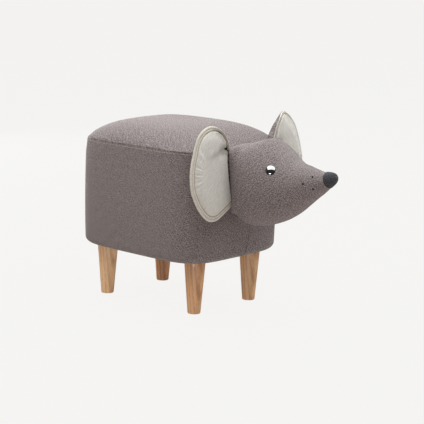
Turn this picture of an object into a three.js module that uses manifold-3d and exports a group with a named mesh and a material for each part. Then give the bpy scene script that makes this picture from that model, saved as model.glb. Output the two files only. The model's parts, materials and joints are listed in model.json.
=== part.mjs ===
// Animal footstool: an upholstered seat on four turned legs, with a stuffed mouse head.
// Millimetres, +Z up. X runs from the tail end to the nose and Y to the animal's left.
// The origin is on the floor, halfway between the tail end and the nose tip.
import * as THREE from 'three';
import { mergeVertices } from 'three/addons/utils/BufferGeometryUtils.js';
import Module from 'manifold-3d';

// Seat body
const bodyLength = 342.6;
const bodyWidth = 285.8;
const bodySideHeight = 222.3;
const crownHeight = 40.8;
const crownPower = 4;
const frontCornerPower = 4.8;
const backCornerPower = 5.2;
const headEndFlareShare = 0.038;
const sideBulge = 1.7;
const bottomEdgeRadius = 13;
const hemReach = 30;

// Layers of the body, from the outside in
const coverThickness = 1.6;
const sideFoamThickness = 15;
const seatFoamEdgeHeight = 19;
const wallBoardThickness = 3;
const baseBoardThickness = 15;
const topBoardThickness = 12;
const dustCoverThickness = 0.8;
const dustCoverInset = 22;
const fitGap = 0.3;

// Frame posts and the screws in them
const postSide = 30;
const postInsetX = 91.3;
const postInsetY = 46.9;
const screwLength = 42;
const screwHeadRadius = 4.2;
const screwHeadDepth = 3.2;
const screwShankRadius = 2;

// Legs and their fixings
const legLength = 106.6;
const legTopRadius = 21.3;
const legFootRadius = 13;
const legFootRounding = 2.2;
const legTopRounding = 0.8;
const legInsetX = 50;
const legInsetY = 58.5;
const boltRadius = 4;
const boltInLeg = 34;
const boltAboveNut = 3;
const boltPointLength = 5;
const boltChamfer = 0.8;
const nutFlangeRadius = 11;
const nutFlangeThickness = 1.6;
const nutBarrelRadius = 5.4;
const nutBarrelLength = 9;

// Head, from the front face of the body to the nose tip
const headLength = 232.7;
const headHeight = 174;
const headWidth = 154;
const headLowBelowSeam = 147;
const headWall = 1.6;

// Where the head is cut for the nose cap
const noseSeamAlongShare = 0.911;
const noseSeamHeightShare = 0.642;
const noseSeamTilt = 27;

// Eyes and whisker knots
const eyeRadius = 10;
const eyeDomeHeight = 6.4;
const eyeSink = 0.5;
const eyeStemRadius = 2.4;
const eyeStemLength = 13;
const eyeAlongShare = 0.476;
const eyeTurn = 33.9;
const washerRadius = 9;
const washerThickness = 1.4;
const washerDepth = 3.6;
const knotRadius = 2;
const knotHeight = 1.5;
const knotSpotShares = [
  { name: 'upper', along: 0.806, turn: 38.7 },
  { name: 'middle', along: 0.748, turn: 11.3 },
  { name: 'lower', along: 0.824, turn: -18.1 },
];

// Ears, measured from the sewn root outward and upward
const earReach = 118;
const earRise = 163;
const earDrop = 25;
const earRootLength = 104;
const earRootRadius = 4;
const earRootMargin = 4;
const earRootInset = 19;
const earRootAboveHeadLow = 42.8;
const earRootAhead = 19.6;
const earRootLean = 5.25;
const earPanelThickness = 1.5;
const earFrontSwell = 2.2;
const earBackSwell = 6;
const earPaddingInset = 9;

// Facets
const bodySegments = 36;
const headSegments = 28;
const headSteps = 18;
const tipCrowding = 1.6;
const earSegments = 24;
const earRootSegments = 12;
const legSegments = 20;
const eyeSegments = 14;
const boltSegments = 10;
const cutOverrun = 20;

// Heights worked out from the layers
const undersideZ = legLength + fitGap;
const dustTopZ = undersideZ + dustCoverThickness;
const hemBottomZ = dustTopZ + fitGap;
const hemTopZ = hemBottomZ + coverThickness;
const baseBottomZ = hemTopZ + fitGap;
const baseTopZ = baseBottomZ + baseBoardThickness;
const seamZ = undersideZ + bodySideHeight;
const boardTopZ = seamZ - seatFoamEdgeHeight;
const boardBottomZ = boardTopZ - topBoardThickness;

// Insets from the outline of the body, worked out from the layers
const foamInset = coverThickness + fitGap;
const wallBoardInset = foamInset + sideFoamThickness + fitGap;
const boardInset = wallBoardInset + wallBoardThickness + fitGap;

// Places on the body that the head and the ears follow
const halfLength = bodyLength / 2;
const headLowZ = seamZ - headLowBelowSeam;
const earRootX = halfLength + earRootAhead;
const earRootHalfSpacing = headWidth / 2 - earRootInset;
const earRootZ = headLowZ + earRootAboveHeadLow;
const noseTipX = halfLength + headLength;
const tailEndX = -halfLength - sideBulge;

const wasm = await Module();
wasm.setup();

// Materials, one for each finish
const finishes = {
  upholstery: { color: '#6b605c', roughness: 0.95, metalness: 0 },
  lining: { color: '#c3beb6', roughness: 0.9, metalness: 0 },
  nose: { color: '#3d3d40', roughness: 0.95, metalness: 0 },
  thread: { color: '#161415', roughness: 0.7, metalness: 0 },
  eyeGloss: { color: '#0a0a0b', roughness: 0.08, metalness: 0 },
  legWood: { color: '#b98a5f', roughness: 0.5, metalness: 0 },
  board: { color: '#c4a57b', roughness: 0.8, metalness: 0 },
  foam: { color: '#ece6cf', roughness: 1, metalness: 0 },
  wadding: { color: '#f1f0ec', roughness: 1, metalness: 0 },
  dustCloth: { color: '#2a2a2c', roughness: 1, metalness: 0 },
  zinc: { color: '#b9bcc0', roughness: 0.35, metalness: 1 },
};

const stool = new THREE.Group();
stool.position.x = -(tailEndX + noseTipX) / 2;

function addPiece(parent, name, finish, geometry) {
  geometry.computeVertexNormals();
  const piece = new THREE.Mesh(geometry, new THREE.MeshStandardMaterial(finishes[finish]));
  piece.name = name;
  parent.add(piece);
  return piece;
}

// Small helpers for shapes
function signedPower(value, power) {
  return Math.sign(value) * Math.abs(value) ** power;
}

function signedVolume(points, faces) {
  let volume = 0;
  for (const [a, b, c] of faces) {
    volume += points[a].dot(new THREE.Vector3().crossVectors(points[b], points[c])) / 6;
  }
  return volume;
}

// A closed solid through rings of points that all have the same count. The first and the
// last ring are closed by a fan, or joined to each other when the rings form a loop.
function solidFromRings(rings, isLoop = false) {
  const count = rings[0].length;
  const points = rings.flat();
  const faces = [];
  const joins = isLoop ? rings.length : rings.length - 1;
  for (let row = 0; row < joins; row += 1) {
    const here = row * count;
    const next = ((row + 1) % rings.length) * count;
    for (let i = 0; i < count; i += 1) {
      const j = (i + 1) % count;
      faces.push([here + i, here + j, next + j], [here + i, next + j, next + i]);
    }
  }
  if (!isLoop) {
    for (const [row, turned] of [[0, true], [rings.length - 1, false]]) {
      const middle = new THREE.Vector3();
      rings[row].forEach((point) => middle.add(point));
      points.push(middle.divideScalar(count));
      const pole = points.length - 1;
      for (let i = 0; i < count; i += 1) {
        const here = row * count + i;
        const next = row * count + ((i + 1) % count);
        faces.push(turned ? [pole, next, here] : [pole, here, next]);
      }
    }
  }
  if (signedVolume(points, faces) < 0) faces.forEach((face) => face.reverse());
  const geometry = new THREE.BufferGeometry();
  geometry.setAttribute('position', new THREE.Float32BufferAttribute(
    points.flatMap((point) => [point.x, point.y, point.z]), 3));
  geometry.setIndex(faces.flat());
  return geometry;
}

function toSolid(geometry) {
  const bare = geometry.clone();
  bare.deleteAttribute('normal');
  bare.deleteAttribute('uv');
  const merged = mergeVertices(bare);
  return new wasm.Manifold(new wasm.Mesh({
    numProp: 3,
    vertProperties: new Float32Array(merged.attributes.position.array),
    triVerts: new Uint32Array(merged.index.array),
  }));
}

function toGeometry(solid) {
  const mesh = solid.getMesh();
  const geometry = new THREE.BufferGeometry();
  geometry.setAttribute('position', new THREE.BufferAttribute(mesh.vertProperties, 3));
  geometry.setIndex(new THREE.BufferAttribute(mesh.triVerts, 1));
  return geometry;
}

function cylinderAt(radius, height, x, y, bottomZ, segments = boltSegments) {
  const geometry = new THREE.CylinderGeometry(radius, radius, height, segments);
  geometry.rotateX(Math.PI / 2);
  return geometry.translate(x, y, bottomZ + height / 2);
}

// A round piece turned about Z from pairs of radius and height
function turned(profile, segments) {
  let area = 0;
  profile.forEach(([radius, z], i) => {
    const [nextRadius, nextZ] = profile[(i + 1) % profile.length];
    area += radius * nextZ - nextRadius * z;
  });
  const points = profile.map(([radius, z]) => new THREE.Vector2(radius, z));
  if (area < 0) points.reverse();
  return new THREE.LatheGeometry(points, segments).rotateX(Math.PI / 2);
}

// The four corners, front or rear and left or right, inset from the ends and sides of the body
function corners(insetX, insetY) {
  const fromMiddleX = halfLength - insetX;
  const fromMiddleY = bodyWidth / 2 - insetY;
  const places = [];
  for (const [end, alongX] of [['front', 1], ['rear', -1]]) {
    for (const [side, alongY] of [['right', -1], ['left', 1]]) {
      places.push({ name: `${end}_${side}`, x: alongX * fromMiddleX, y: alongY * fromMiddleY });
    }
  }
  return places;
}

const legPlaces = corners(legInsetX, legInsetY);
const postPlaces = corners(postInsetX, postInsetY);

// Body outline: a rounded rectangle, a little wider at the head end
function bodyRing(share, inset, z) {
  const ring = [];
  for (let i = 0; i < bodySegments; i += 1) {
    const angle = (2 * Math.PI * i) / bodySegments;
    const across = Math.cos(angle);
    const power = 2 / (across > 0 ? frontCornerPower : backCornerPower);
    const x = (halfLength * share - inset) * signedPower(across, power);
    const flare = 1 + headEndFlareShare * x / halfLength;
    const y = (bodyWidth / 2 * share - inset) * signedPower(Math.sin(angle), power) * flare;
    ring.push(new THREE.Vector3(x, y, z));
  }
  return ring;
}

function crownRise(share) {
  return crownHeight * (1 - share ** crownPower);
}

// How far the side bulges out at a height between the underside and the seam
function bulgeAt(z) {
  const up = (z - undersideZ) / bodySideHeight;
  return sideBulge * 4 * up * (1 - up);
}

// Rings of the body's side at a depth under its outline, from a height down to the
// bottom edge, which is rounded
function sideRings(depth, fromZ, bottomZ, sideSteps, edgeSteps) {
  const rings = [];
  const radius = bottomEdgeRadius - depth;
  const edgeZ = bottomZ + radius;
  for (let i = 0; i <= sideSteps; i += 1) {
    const z = fromZ + (edgeZ - fromZ) * i / sideSteps;
    rings.push(bodyRing(1, depth - bulgeAt(z), z));
  }
  for (let i = 1; i <= edgeSteps; i += 1) {
    const angle = (Math.PI / 2) * (i / edgeSteps);
    const z = edgeZ - radius * Math.sin(angle);
    rings.push(bodyRing(1, depth - bulgeAt(z) + radius * (1 - Math.cos(angle)), z));
  }
  return rings;
}

const crownShares = [0.22, 0.42, 0.58, 0.7, 0.8, 0.88, 0.94];
const crownRimShare = 0.98;

function makeTopPanel() {
  const rimZ = seamZ + fitGap / 2;
  const innerShares = [...crownShares, crownRimShare].reverse();
  const crownRing = (share, drop) => bodyRing(share, 0, rimZ + crownRise(share) - drop);
  return solidFromRings([
    ...crownShares.map((share) => crownRing(share, 0)),
    bodyRing(1, 0, rimZ),
    ...innerShares.map((share) => crownRing(share, coverThickness)),
  ]);
}

function makeSideBand() {
  const rimZ = seamZ - fitGap / 2;
  const outside = sideRings(0, rimZ, hemBottomZ, 3, 4);
  const inside = sideRings(coverThickness, rimZ, hemTopZ, 3, 3).reverse();
  const hem = [bodyRing(1, hemReach, hemBottomZ), bodyRing(1, hemReach, hemTopZ)];
  return solidFromRings([...outside, ...hem, ...inside], true);
}

function makeSeatFoam() {
  const drop = coverThickness + fitGap;
  const edgeShare = 1 - foamInset / halfLength;
  const rings = crownShares.map((share) => (
    bodyRing(share, 0, seamZ + crownRise(share) - drop)));
  return solidFromRings([
    ...rings,
    bodyRing(1, foamInset, seamZ + crownRise(edgeShare) - drop),
    bodyRing(1, foamInset, boardTopZ + fitGap),
  ]);
}

function makeSideFoam() {
  const bottomZ = hemTopZ + fitGap;
  const innerInset = foamInset + sideFoamThickness;
  return solidFromRings([
    ...sideRings(foamInset, boardTopZ, bottomZ, 3, 3),
    bodyRing(1, innerInset, bottomZ),
    bodyRing(1, innerInset, boardTopZ),
  ], true);
}

function makeWallBoard() {
  const innerInset = wallBoardInset + wallBoardThickness;
  return solidFromRings([
    bodyRing(1, wallBoardInset, boardTopZ),
    bodyRing(1, wallBoardInset, baseBottomZ),
    bodyRing(1, innerInset, baseBottomZ),
    bodyRing(1, innerInset, boardTopZ),
  ], true);
}

function makeBoard(bottomZ, topZ) {
  return toSolid(solidFromRings([
    bodyRing(1, boardInset, bottomZ),
    bodyRing(1, boardInset, topZ),
  ]));
}

// The hole for a screw, with its countersink at the head end
function screwHole(place, headZ, inward) {
  const geometry = turned([
    [0, fitGap],
    [screwHeadRadius + fitGap, fitGap],
    [screwHeadRadius + fitGap, 0],
    [screwShankRadius + fitGap, -screwHeadDepth],
    [screwShankRadius + fitGap, -screwLength - fitGap],
    [0, -screwLength - fitGap],
  ], boltSegments);
  if (inward > 0) geometry.rotateX(Math.PI);
  return toSolid(geometry.translate(place.x, place.y, headZ));
}

function makeScrew(place, headZ, inward) {
  const geometry = turned([
    [0, 0],
    [screwHeadRadius, 0],
    [screwShankRadius, -screwHeadDepth],
    [screwShankRadius, -screwLength + screwHeadDepth],
    [0, -screwLength],
  ], boltSegments);
  if (inward > 0) geometry.rotateX(Math.PI);
  return geometry.translate(place.x, place.y, headZ);
}

function makeBaseBoard() {
  let board = makeBoard(baseBottomZ, baseTopZ);
  const height = baseBoardThickness + 2 * cutOverrun;
  for (const { x, y } of legPlaces) {
    const radius = nutBarrelRadius + fitGap;
    board = board.subtract(toSolid(cylinderAt(radius, height, x, y, baseBottomZ - cutOverrun)));
  }
  for (const place of postPlaces) board = board.subtract(screwHole(place, baseBottomZ, 1));
  return toGeometry(board);
}

function makeTopBoard() {
  let board = makeBoard(boardBottomZ, boardTopZ);
  for (const place of postPlaces) board = board.subtract(screwHole(place, boardTopZ, -1));
  return toGeometry(board);
}

function makePost(place) {
  const bottomZ = baseTopZ + fitGap;
  const height = boardBottomZ - fitGap - bottomZ;
  const block = new THREE.BoxGeometry(postSide, postSide, height);
  const solid = toSolid(block.translate(place.x, place.y, bottomZ + height / 2));
  const holes = screwHole(place, baseBottomZ, 1).add(screwHole(place, boardTopZ, -1));
  return toGeometry(solid.subtract(holes));
}

function makeDustCover() {
  let sheet = toSolid(solidFromRings([
    bodyRing(1, dustCoverInset, undersideZ),
    bodyRing(1, dustCoverInset, dustTopZ),
  ]));
  const height = dustCoverThickness + 2 * cutOverrun;
  for (const { x, y } of legPlaces) {
    const radius = boltRadius + fitGap;
    sheet = sheet.subtract(toSolid(cylinderAt(radius, height, x, y, undersideZ - cutOverrun)));
  }
  return toGeometry(sheet);
}

// A leg with the blind hole that its bolt screws into
function makeLeg() {
  const holeBottom = legLength - boltInLeg - fitGap;
  return turned([
    [0, 0],
    [legFootRadius - legFootRounding, 0],
    [legFootRadius - legFootRounding * (1 - Math.SQRT1_2), legFootRounding * (1 - Math.SQRT1_2)],
    [legFootRadius, legFootRounding],
    [legTopRadius, legLength - legTopRounding],
    [legTopRadius - legTopRounding, legLength],
    [boltRadius + fitGap, legLength],
    [boltRadius + fitGap, holeBottom],
    [0, holeBottom],
  ], legSegments);
}

function makeHangerBolt() {
  const topZ = baseTopZ + fitGap + nutFlangeThickness + boltAboveNut;
  const bottomZ = legLength - boltInLeg;
  return turned([
    [0, bottomZ],
    [boltRadius, bottomZ + boltPointLength],
    [boltRadius, topZ - boltChamfer],
    [boltRadius - boltChamfer, topZ],
    [0, topZ],
  ], boltSegments);
}

function makeNut() {
  const seatZ = baseTopZ + fitGap;
  const bore = boltRadius + fitGap;
  return turned([
    [bore, seatZ - nutBarrelLength],
    [nutBarrelRadius, seatZ - nutBarrelLength],
    [nutBarrelRadius, seatZ],
    [nutFlangeRadius, seatZ],
    [nutFlangeRadius, seatZ + nutFlangeThickness],
    [bore, seatZ + nutFlangeThickness],
    [bore, seatZ - nutBarrelLength],
  ], boltSegments);
}

// Stations of the head, as shares of its length, height and width. Square is the power
// of the section's outline: 2 is an ellipse, and more is squarer.
const headStationShares = [
  { along: -0.12, top: 0.88, bottom: 0.26, width: 0.6, square: 3.4 },
  { along: 0, top: 0.9, bottom: 0.21, width: 0.65, square: 3.4 },
  { along: 0.06, top: 0.912, bottom: 0.113, width: 0.77, square: 3.1 },
  { along: 0.125, top: 0.935, bottom: 0.034, width: 0.91, square: 2.7 },
  { along: 0.21, top: 0.975, bottom: 0.004, width: 0.995, square: 2.4 },
  { along: 0.295, top: 1, bottom: 0.015, width: 1, square: 2.1 },
  { along: 0.39, top: 0.938, bottom: 0.054, width: 0.927, square: 2.1 },
  { along: 0.49, top: 0.86, bottom: 0.112, width: 0.804, square: 2 },
  { along: 0.59, top: 0.796, bottom: 0.194, width: 0.658, square: 2 },
  { along: 0.68, top: 0.769, bottom: 0.285, width: 0.535, square: 2 },
  { along: 0.77, top: 0.743, bottom: 0.375, width: 0.416, square: 2 },
  { along: 0.845, top: 0.729, bottom: 0.457, width: 0.31, square: 2 },
  { along: 0.915, top: 0.732, bottom: 0.53, width: 0.22, square: 2 },
  { along: 0.965, top: 0.734, bottom: 0.59, width: 0.15, square: 2 },
  { along: 0.988, top: 0.72, bottom: 0.622, width: 0.095, square: 2 },
  { along: 1, top: 0.69, bottom: 0.655, width: 0.04, square: 2 },
];

// A smooth value between the stations, by a cubic through the four nearest ones
function stationValue(key, along) {
  const last = headStationShares.length - 1;
  let i = 0;
  while (i < last - 1 && headStationShares[i + 1].along <= along) i += 1;
  const at = (index) => headStationShares[Math.min(Math.max(index, 0), last)];
  const slope = (index) => {
    const before = at(index - 1);
    const after = at(index + 1);
    return (after[key] - before[key]) / (after.along - before.along);
  };
  const step = at(i + 1).along - at(i).along;
  const t = (along - at(i).along) / step;
  const rise = at(i + 1)[key] - at(i)[key];
  const bend = (slope(i) * step - rise) * (1 - t) - (slope(i + 1) * step - rise) * t;
  return at(i)[key] + rise * t + bend * t * (1 - t);
}

function headSection(along) {
  const topZ = headLowZ + headHeight * stationValue('top', along);
  const bottomZ = headLowZ + headHeight * stationValue('bottom', along);
  return {
    x: halfLength + headLength * along,
    middleZ: (topZ + bottomZ) / 2,
    halfHeight: (topZ - bottomZ) / 2,
    halfWidth: headWidth / 2 * stationValue('width', along),
    power: 2 / stationValue('square', along),
  };
}

// A point on the head at a share of its length and a turn about it: 0 is the animal's
// left side and a quarter turn is the top
function headPoint(along, turn, depth = 0) {
  const section = headSection(along);
  const y = (section.halfWidth - depth) * signedPower(Math.cos(turn), section.power);
  const z = (section.halfHeight - depth) * signedPower(Math.sin(turn), section.power);
  return new THREE.Vector3(section.x, y, section.middleZ + z);
}

function headSolid(depth) {
  const first = headStationShares[0].along;
  const last = headStationShares[headStationShares.length - 1].along;
  const rings = [];
  for (let i = 0; i <= headSteps; i += 1) {
    const along = first + (last - first) * (1 - (1 - i / headSteps) ** tipCrowding);
    const ring = [];
    for (let k = 0; k < headSegments; k += 1) {
      const point = headPoint(along, (2 * Math.PI * (k + 0.5)) / headSegments, depth);
      point.x -= depth * Math.max(0, (along - noseSeamAlongShare) / (1 - noseSeamAlongShare));
      ring.push(point);
    }
    rings.push(ring);
  }
  return toSolid(solidFromRings(rings));
}

// The room that the body takes, with the gap around it
function bodyRoom() {
  const rings = sideRings(-fitGap, seamZ, undersideZ - fitGap, 6, 2).reverse();
  const crown = [...crownShares, crownRimShare].reverse();
  crown.forEach((share) => rings.push(bodyRing(share, -fitGap, seamZ + fitGap + crownRise(share))));
  return toSolid(solidFromRings(rings));
}

// Everything ahead of the tilted seam between the head and the nose cap
function aheadOfNoseSeam(shift) {
  const size = headLength;
  const box = new THREE.BoxGeometry(size, size, size).translate(size / 2 + shift, 0, 0);
  box.rotateY(-THREE.MathUtils.degToRad(noseSeamTilt));
  box.translate(
    halfLength + headLength * noseSeamAlongShare, 0, headLowZ + headHeight * noseSeamHeightShare);
  return toSolid(box);
}

// The ear's frame on one side: X out from its root, Z up along the root
function earPlace(side) {
  const lean = new THREE.Group();
  lean.position.set(earRootX, side * earRootHalfSpacing, earRootZ);
  lean.rotation.y = -THREE.MathUtils.degToRad(earRootLean);
  const facing = new THREE.Group();
  facing.rotation.z = side * Math.PI / 2;
  lean.add(facing);
  lean.updateMatrixWorld(true);
  return { lean, facing };
}

// The groove in the side of the head that the root of an ear turns in
function earGroove(side) {
  const groove = cylinderAt(
    earRootRadius + fitGap, earRootLength + 2 * fitGap, 0, 0, -fitGap, earRootSegments);
  return toSolid(groove.applyMatrix4(earPlace(side).facing.matrixWorld));
}

// A frame on the surface of the head, with Z pointing out of it
function headSpot(along, turn, lift) {
  const small = 0.001;
  const point = headPoint(along, turn);
  const forward = headPoint(along + small, turn).sub(point);
  const around = headPoint(along, turn + small).sub(point);
  const out = forward.cross(around).normalize();
  if (out.y * point.y < 0) out.negate();
  const turnTo = new THREE.Quaternion().setFromUnitVectors(new THREE.Vector3(0, 0, 1), out);
  const spot = new THREE.Object3D();
  spot.position.copy(point).addScaledVector(out, lift);
  spot.quaternion.copy(turnTo);
  spot.updateMatrixWorld(true);
  return spot;
}

// Turns are given for the animal's left side and mirrored for its right
function sideTurn(degrees, side) {
  const turn = THREE.MathUtils.degToRad(degrees);
  return side > 0 ? turn : Math.PI - turn;
}

function eyeSpot(side) {
  return headSpot(eyeAlongShare, sideTurn(eyeTurn, side), -eyeSink);
}

function eyeProfile(grow) {
  const domeSteps = 5;
  const profile = [
    [0, -eyeStemLength - grow],
    [eyeStemRadius + grow, -eyeStemLength - grow],
    [eyeStemRadius + grow, -grow],
    [eyeRadius + grow, -grow],
  ];
  for (let i = 1; i < domeSteps; i += 1) {
    const angle = (Math.PI / 2) * (i / domeSteps);
    profile.push([(eyeRadius + grow) * Math.cos(angle), (eyeDomeHeight + grow) * Math.sin(angle)]);
  }
  profile.push([0, eyeDomeHeight + grow]);
  return profile;
}

function washerProfile(grow) {
  const bore = eyeStemRadius + fitGap - grow;
  const outside = washerRadius + grow;
  const topZ = -washerDepth + grow;
  const bottomZ = -washerDepth - washerThickness - grow;
  return [[bore, bottomZ], [outside, bottomZ], [outside, topZ], [bore, topZ], [bore, bottomZ]];
}

function placedOnSpot(geometry, spot) {
  return toSolid(geometry.applyMatrix4(spot.matrixWorld));
}

function makeHead() {
  const room = bodyRoom();
  let skin = headSolid(0).subtract(headSolid(headWall)).subtract(room);
  let filling = headSolid(headWall + fitGap).subtract(room);
  for (const side of [-1, 1]) {
    const spot = eyeSpot(side);
    const eyeRoom = placedOnSpot(turned(eyeProfile(fitGap), eyeSegments), spot);
    const washerRoom = placedOnSpot(turned(washerProfile(fitGap), eyeSegments), spot);
    skin = skin.subtract(earGroove(side)).subtract(eyeRoom);
    filling = filling.subtract(earGroove(side)).subtract(eyeRoom).subtract(washerRoom);
  }
  return {
    cover: toGeometry(skin.subtract(aheadOfNoseSeam(-fitGap / 2))),
    nose: toGeometry(skin.intersect(aheadOfNoseSeam(fitGap / 2))),
    stuffing: toGeometry(filling),
  };
}

function makeKnot() {
  const steps = 3;
  const profile = [[0, 0], [knotRadius, 0]];
  for (let i = 1; i < steps; i += 1) {
    const angle = (Math.PI / 2) * (i / steps);
    profile.push([knotRadius * Math.cos(angle), knotHeight * Math.sin(angle)]);
  }
  profile.push([0, knotHeight]);
  return turned(profile, boltSegments);
}

// The outline of an ear, as shares of its reach out and of its whole height
const earOutlineShares = [
  [0.05, 0.133], [0.21, 0.06], [0.37, 0.012], [0.51, 0], [0.62, 0.008], [0.8, 0.11],
  [0.95, 0.3], [1, 0.48], [0.985, 0.61], [0.92, 0.76], [0.83, 0.89], [0.7, 0.963],
  [0.54, 1], [0.38, 0.973], [0.24, 0.915], [0.11, 0.81], [0.05, 0.69],
];
const earMiddleShares = [0.53, 0.47];

function earOutline() {
  const height = earRise + earDrop;
  const knots = earOutlineShares.map(([out, up]) => (
    new THREE.Vector3(earReach * out, 0, height * up - earDrop)));
  const curve = new THREE.CatmullRomCurve3(knots, true, 'centripetal');
  return curve.getSpacedPoints(earSegments).slice(0, earSegments);
}

function earRing(share, offset) {
  const height = earRise + earDrop;
  const [outShare, upShare] = earMiddleShares;
  const middle = new THREE.Vector3(earReach * outShare, 0, height * upShare - earDrop);
  return earOutline().map((point) => {
    const moved = point.sub(middle).multiplyScalar(share).add(middle);
    moved.y = offset;
    return moved;
  });
}

const earShares = [0.3, 0.55, 0.75, 0.87];
const earRimShare = 0.95;
const earSwellPower = 3;

function earSwell(share, height) {
  const edge = 1 - 2 * earPaddingInset / (earRise + earDrop);
  return height * Math.max(0, 1 - (share / edge) ** earSwellPower);
}

// A sewn panel between two shares of thickness from the middle plane of the ear
function earPanel(swell, forward) {
  const near = fitGap / 2;
  const far = near + earPanelThickness;
  const ringAt = (share, offset) => earRing(share, forward * (offset + earSwell(share, swell)));
  const shares = [...earShares, earRimShare];
  return solidFromRings([
    ...shares.map((share) => ringAt(share, far)),
    earRing(1, forward * far),
    earRing(1, forward * near),
    ...shares.reverse().map((share) => ringAt(share, near)),
  ]);
}

function earPadding(forward) {
  const near = -fitGap / 2;
  const front = (share) => earRing(share, forward * (earSwell(share, earFrontSwell) + near));
  const back = (share) => earRing(share, -forward * (earSwell(share, earBackSwell) + near));
  return solidFromRings([...earShares.map(front), ...[...earShares].reverse().map(back)]);
}

function makeEar(side) {
  const { lean, facing } = earPlace(side);
  const forward = -side;
  const name = side > 0 ? 'left' : 'right';
  const root = toSolid(cylinderAt(
    earRootRadius, earRootLength, 0, 0, 0, earRootSegments));
  const rootRoom = toSolid(cylinderAt(
    earRootRadius + earRootMargin, earRootLength + 2 * earRootMargin, 0, 0, -earRootMargin,
    earRootSegments));
  const back = toSolid(earPanel(earBackSwell, -forward)).add(root);
  const front = toSolid(earPanel(earFrontSwell, forward)).subtract(rootRoom);
  const padding = toSolid(earPadding(forward)).subtract(rootRoom);
  addPiece(facing, `ear_${name}_back_panel`, 'upholstery', toGeometry(back));
  addPiece(facing, `ear_${name}_padding`, 'wadding', toGeometry(padding));
  addPiece(facing, `ear_${name}_front_panel`, 'lining', toGeometry(front));
  stool.add(lean);
}

// Cover
addPiece(stool, 'cover_top_panel', 'upholstery', makeTopPanel());
addPiece(stool, 'cover_side_band', 'upholstery', makeSideBand());
addPiece(stool, 'dust_cover', 'dustCloth', makeDustCover());

// Padding and frame
addPiece(stool, 'seat_foam', 'foam', makeSeatFoam());
addPiece(stool, 'side_foam', 'foam', makeSideFoam());
addPiece(stool, 'wall_board', 'board', makeWallBoard());
addPiece(stool, 'top_board', 'board', makeTopBoard());
addPiece(stool, 'base_board', 'board', makeBaseBoard());
for (const place of postPlaces) {
  addPiece(stool, `frame_post_${place.name}`, 'board', makePost(place));
  addPiece(stool, `base_screw_${place.name}`, 'zinc', makeScrew(place, baseBottomZ, 1));
  addPiece(stool, `top_screw_${place.name}`, 'zinc', makeScrew(place, boardTopZ, -1));
}

// Legs and their fixings
for (const place of legPlaces) {
  addPiece(stool, `leg_${place.name}`, 'legWood', makeLeg()).position.set(place.x, place.y, 0);
  const bolt = addPiece(stool, `hanger_bolt_${place.name}`, 'zinc', makeHangerBolt());
  bolt.position.set(place.x, place.y, 0);
  const nut = addPiece(stool, `t_nut_${place.name}`, 'zinc', makeNut());
  nut.position.set(place.x, place.y, 0);
}

// Head
const head = makeHead();
addPiece(stool, 'head_cover', 'upholstery', head.cover);
addPiece(stool, 'head_stuffing', 'wadding', head.stuffing);
addPiece(stool, 'nose_cap', 'nose', head.nose);
for (const side of [-1, 1]) {
  const sideName = side > 0 ? 'left' : 'right';
  const eye = addPiece(stool, `eye_${sideName}`, 'eyeGloss', turned(eyeProfile(0), eyeSegments));
  const washer = addPiece(
    stool, `eye_washer_${sideName}`, 'zinc', turned(washerProfile(0), eyeSegments));
  for (const piece of [eye, washer]) {
    piece.position.copy(eyeSpot(side).position);
    piece.quaternion.copy(eyeSpot(side).quaternion);
  }
  for (const spotShares of knotSpotShares) {
    const spot = headSpot(spotShares.along, sideTurn(spotShares.turn, side), fitGap);
    const knot = addPiece(stool, `whisker_knot_${spotShares.name}_${sideName}`, 'thread', makeKnot());
    knot.position.copy(spot.position);
    knot.quaternion.copy(spot.quaternion);
  }
  makeEar(side);
}

export default stool;
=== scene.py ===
# %% [markdown]
# # A mouse-shaped footstool, dressed around its CAD model
#
# The CAD model already has every piece in its right place and at its real size. This script
# loads it as a fixed frame and gives it its looks: cloth, felt, oak, thread and gloss. Soft
# pieces are modelled again as they really are, and stand in for their plain CAD solids.
# All lengths are in metres, with X towards the nose, Y to the animal's left and Z up.

# %% Load the CAD frame
import json
import math

import bpy
import numpy as np
from mathutils import Matrix, Vector


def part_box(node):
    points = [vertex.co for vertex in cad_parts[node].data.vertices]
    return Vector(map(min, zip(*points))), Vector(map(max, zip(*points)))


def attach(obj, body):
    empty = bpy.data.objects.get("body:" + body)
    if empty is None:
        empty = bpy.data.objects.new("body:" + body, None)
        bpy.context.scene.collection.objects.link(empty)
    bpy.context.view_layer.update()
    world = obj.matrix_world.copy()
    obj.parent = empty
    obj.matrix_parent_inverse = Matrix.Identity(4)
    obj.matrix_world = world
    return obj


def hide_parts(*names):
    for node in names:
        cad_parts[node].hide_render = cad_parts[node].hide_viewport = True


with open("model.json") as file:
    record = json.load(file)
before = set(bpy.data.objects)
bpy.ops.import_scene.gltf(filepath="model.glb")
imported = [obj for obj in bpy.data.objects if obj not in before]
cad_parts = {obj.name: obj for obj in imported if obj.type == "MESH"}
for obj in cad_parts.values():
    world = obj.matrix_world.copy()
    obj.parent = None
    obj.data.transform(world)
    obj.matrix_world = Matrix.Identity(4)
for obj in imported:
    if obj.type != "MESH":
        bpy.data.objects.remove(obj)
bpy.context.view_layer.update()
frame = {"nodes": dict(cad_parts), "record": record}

MM = 0.001
SIDES = ((-1, "right"), (1, "left"))

# %% [markdown]
# ## Camera
# The photograph was taken from about 3.3 m away, a little above the seat, with the animal
# turned three quarters to the right. The camera's three directions come from fitting the
# outline of the seat and the legs, so the render can be laid over the photograph.

# %% Camera
def axes_at(first, second, third, place):
    """The matrix that turns X, Y and Z to three directions and moves to a place."""
    return Matrix((*zip(first, second, third, place), (0, 0, 0, 1)))


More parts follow.
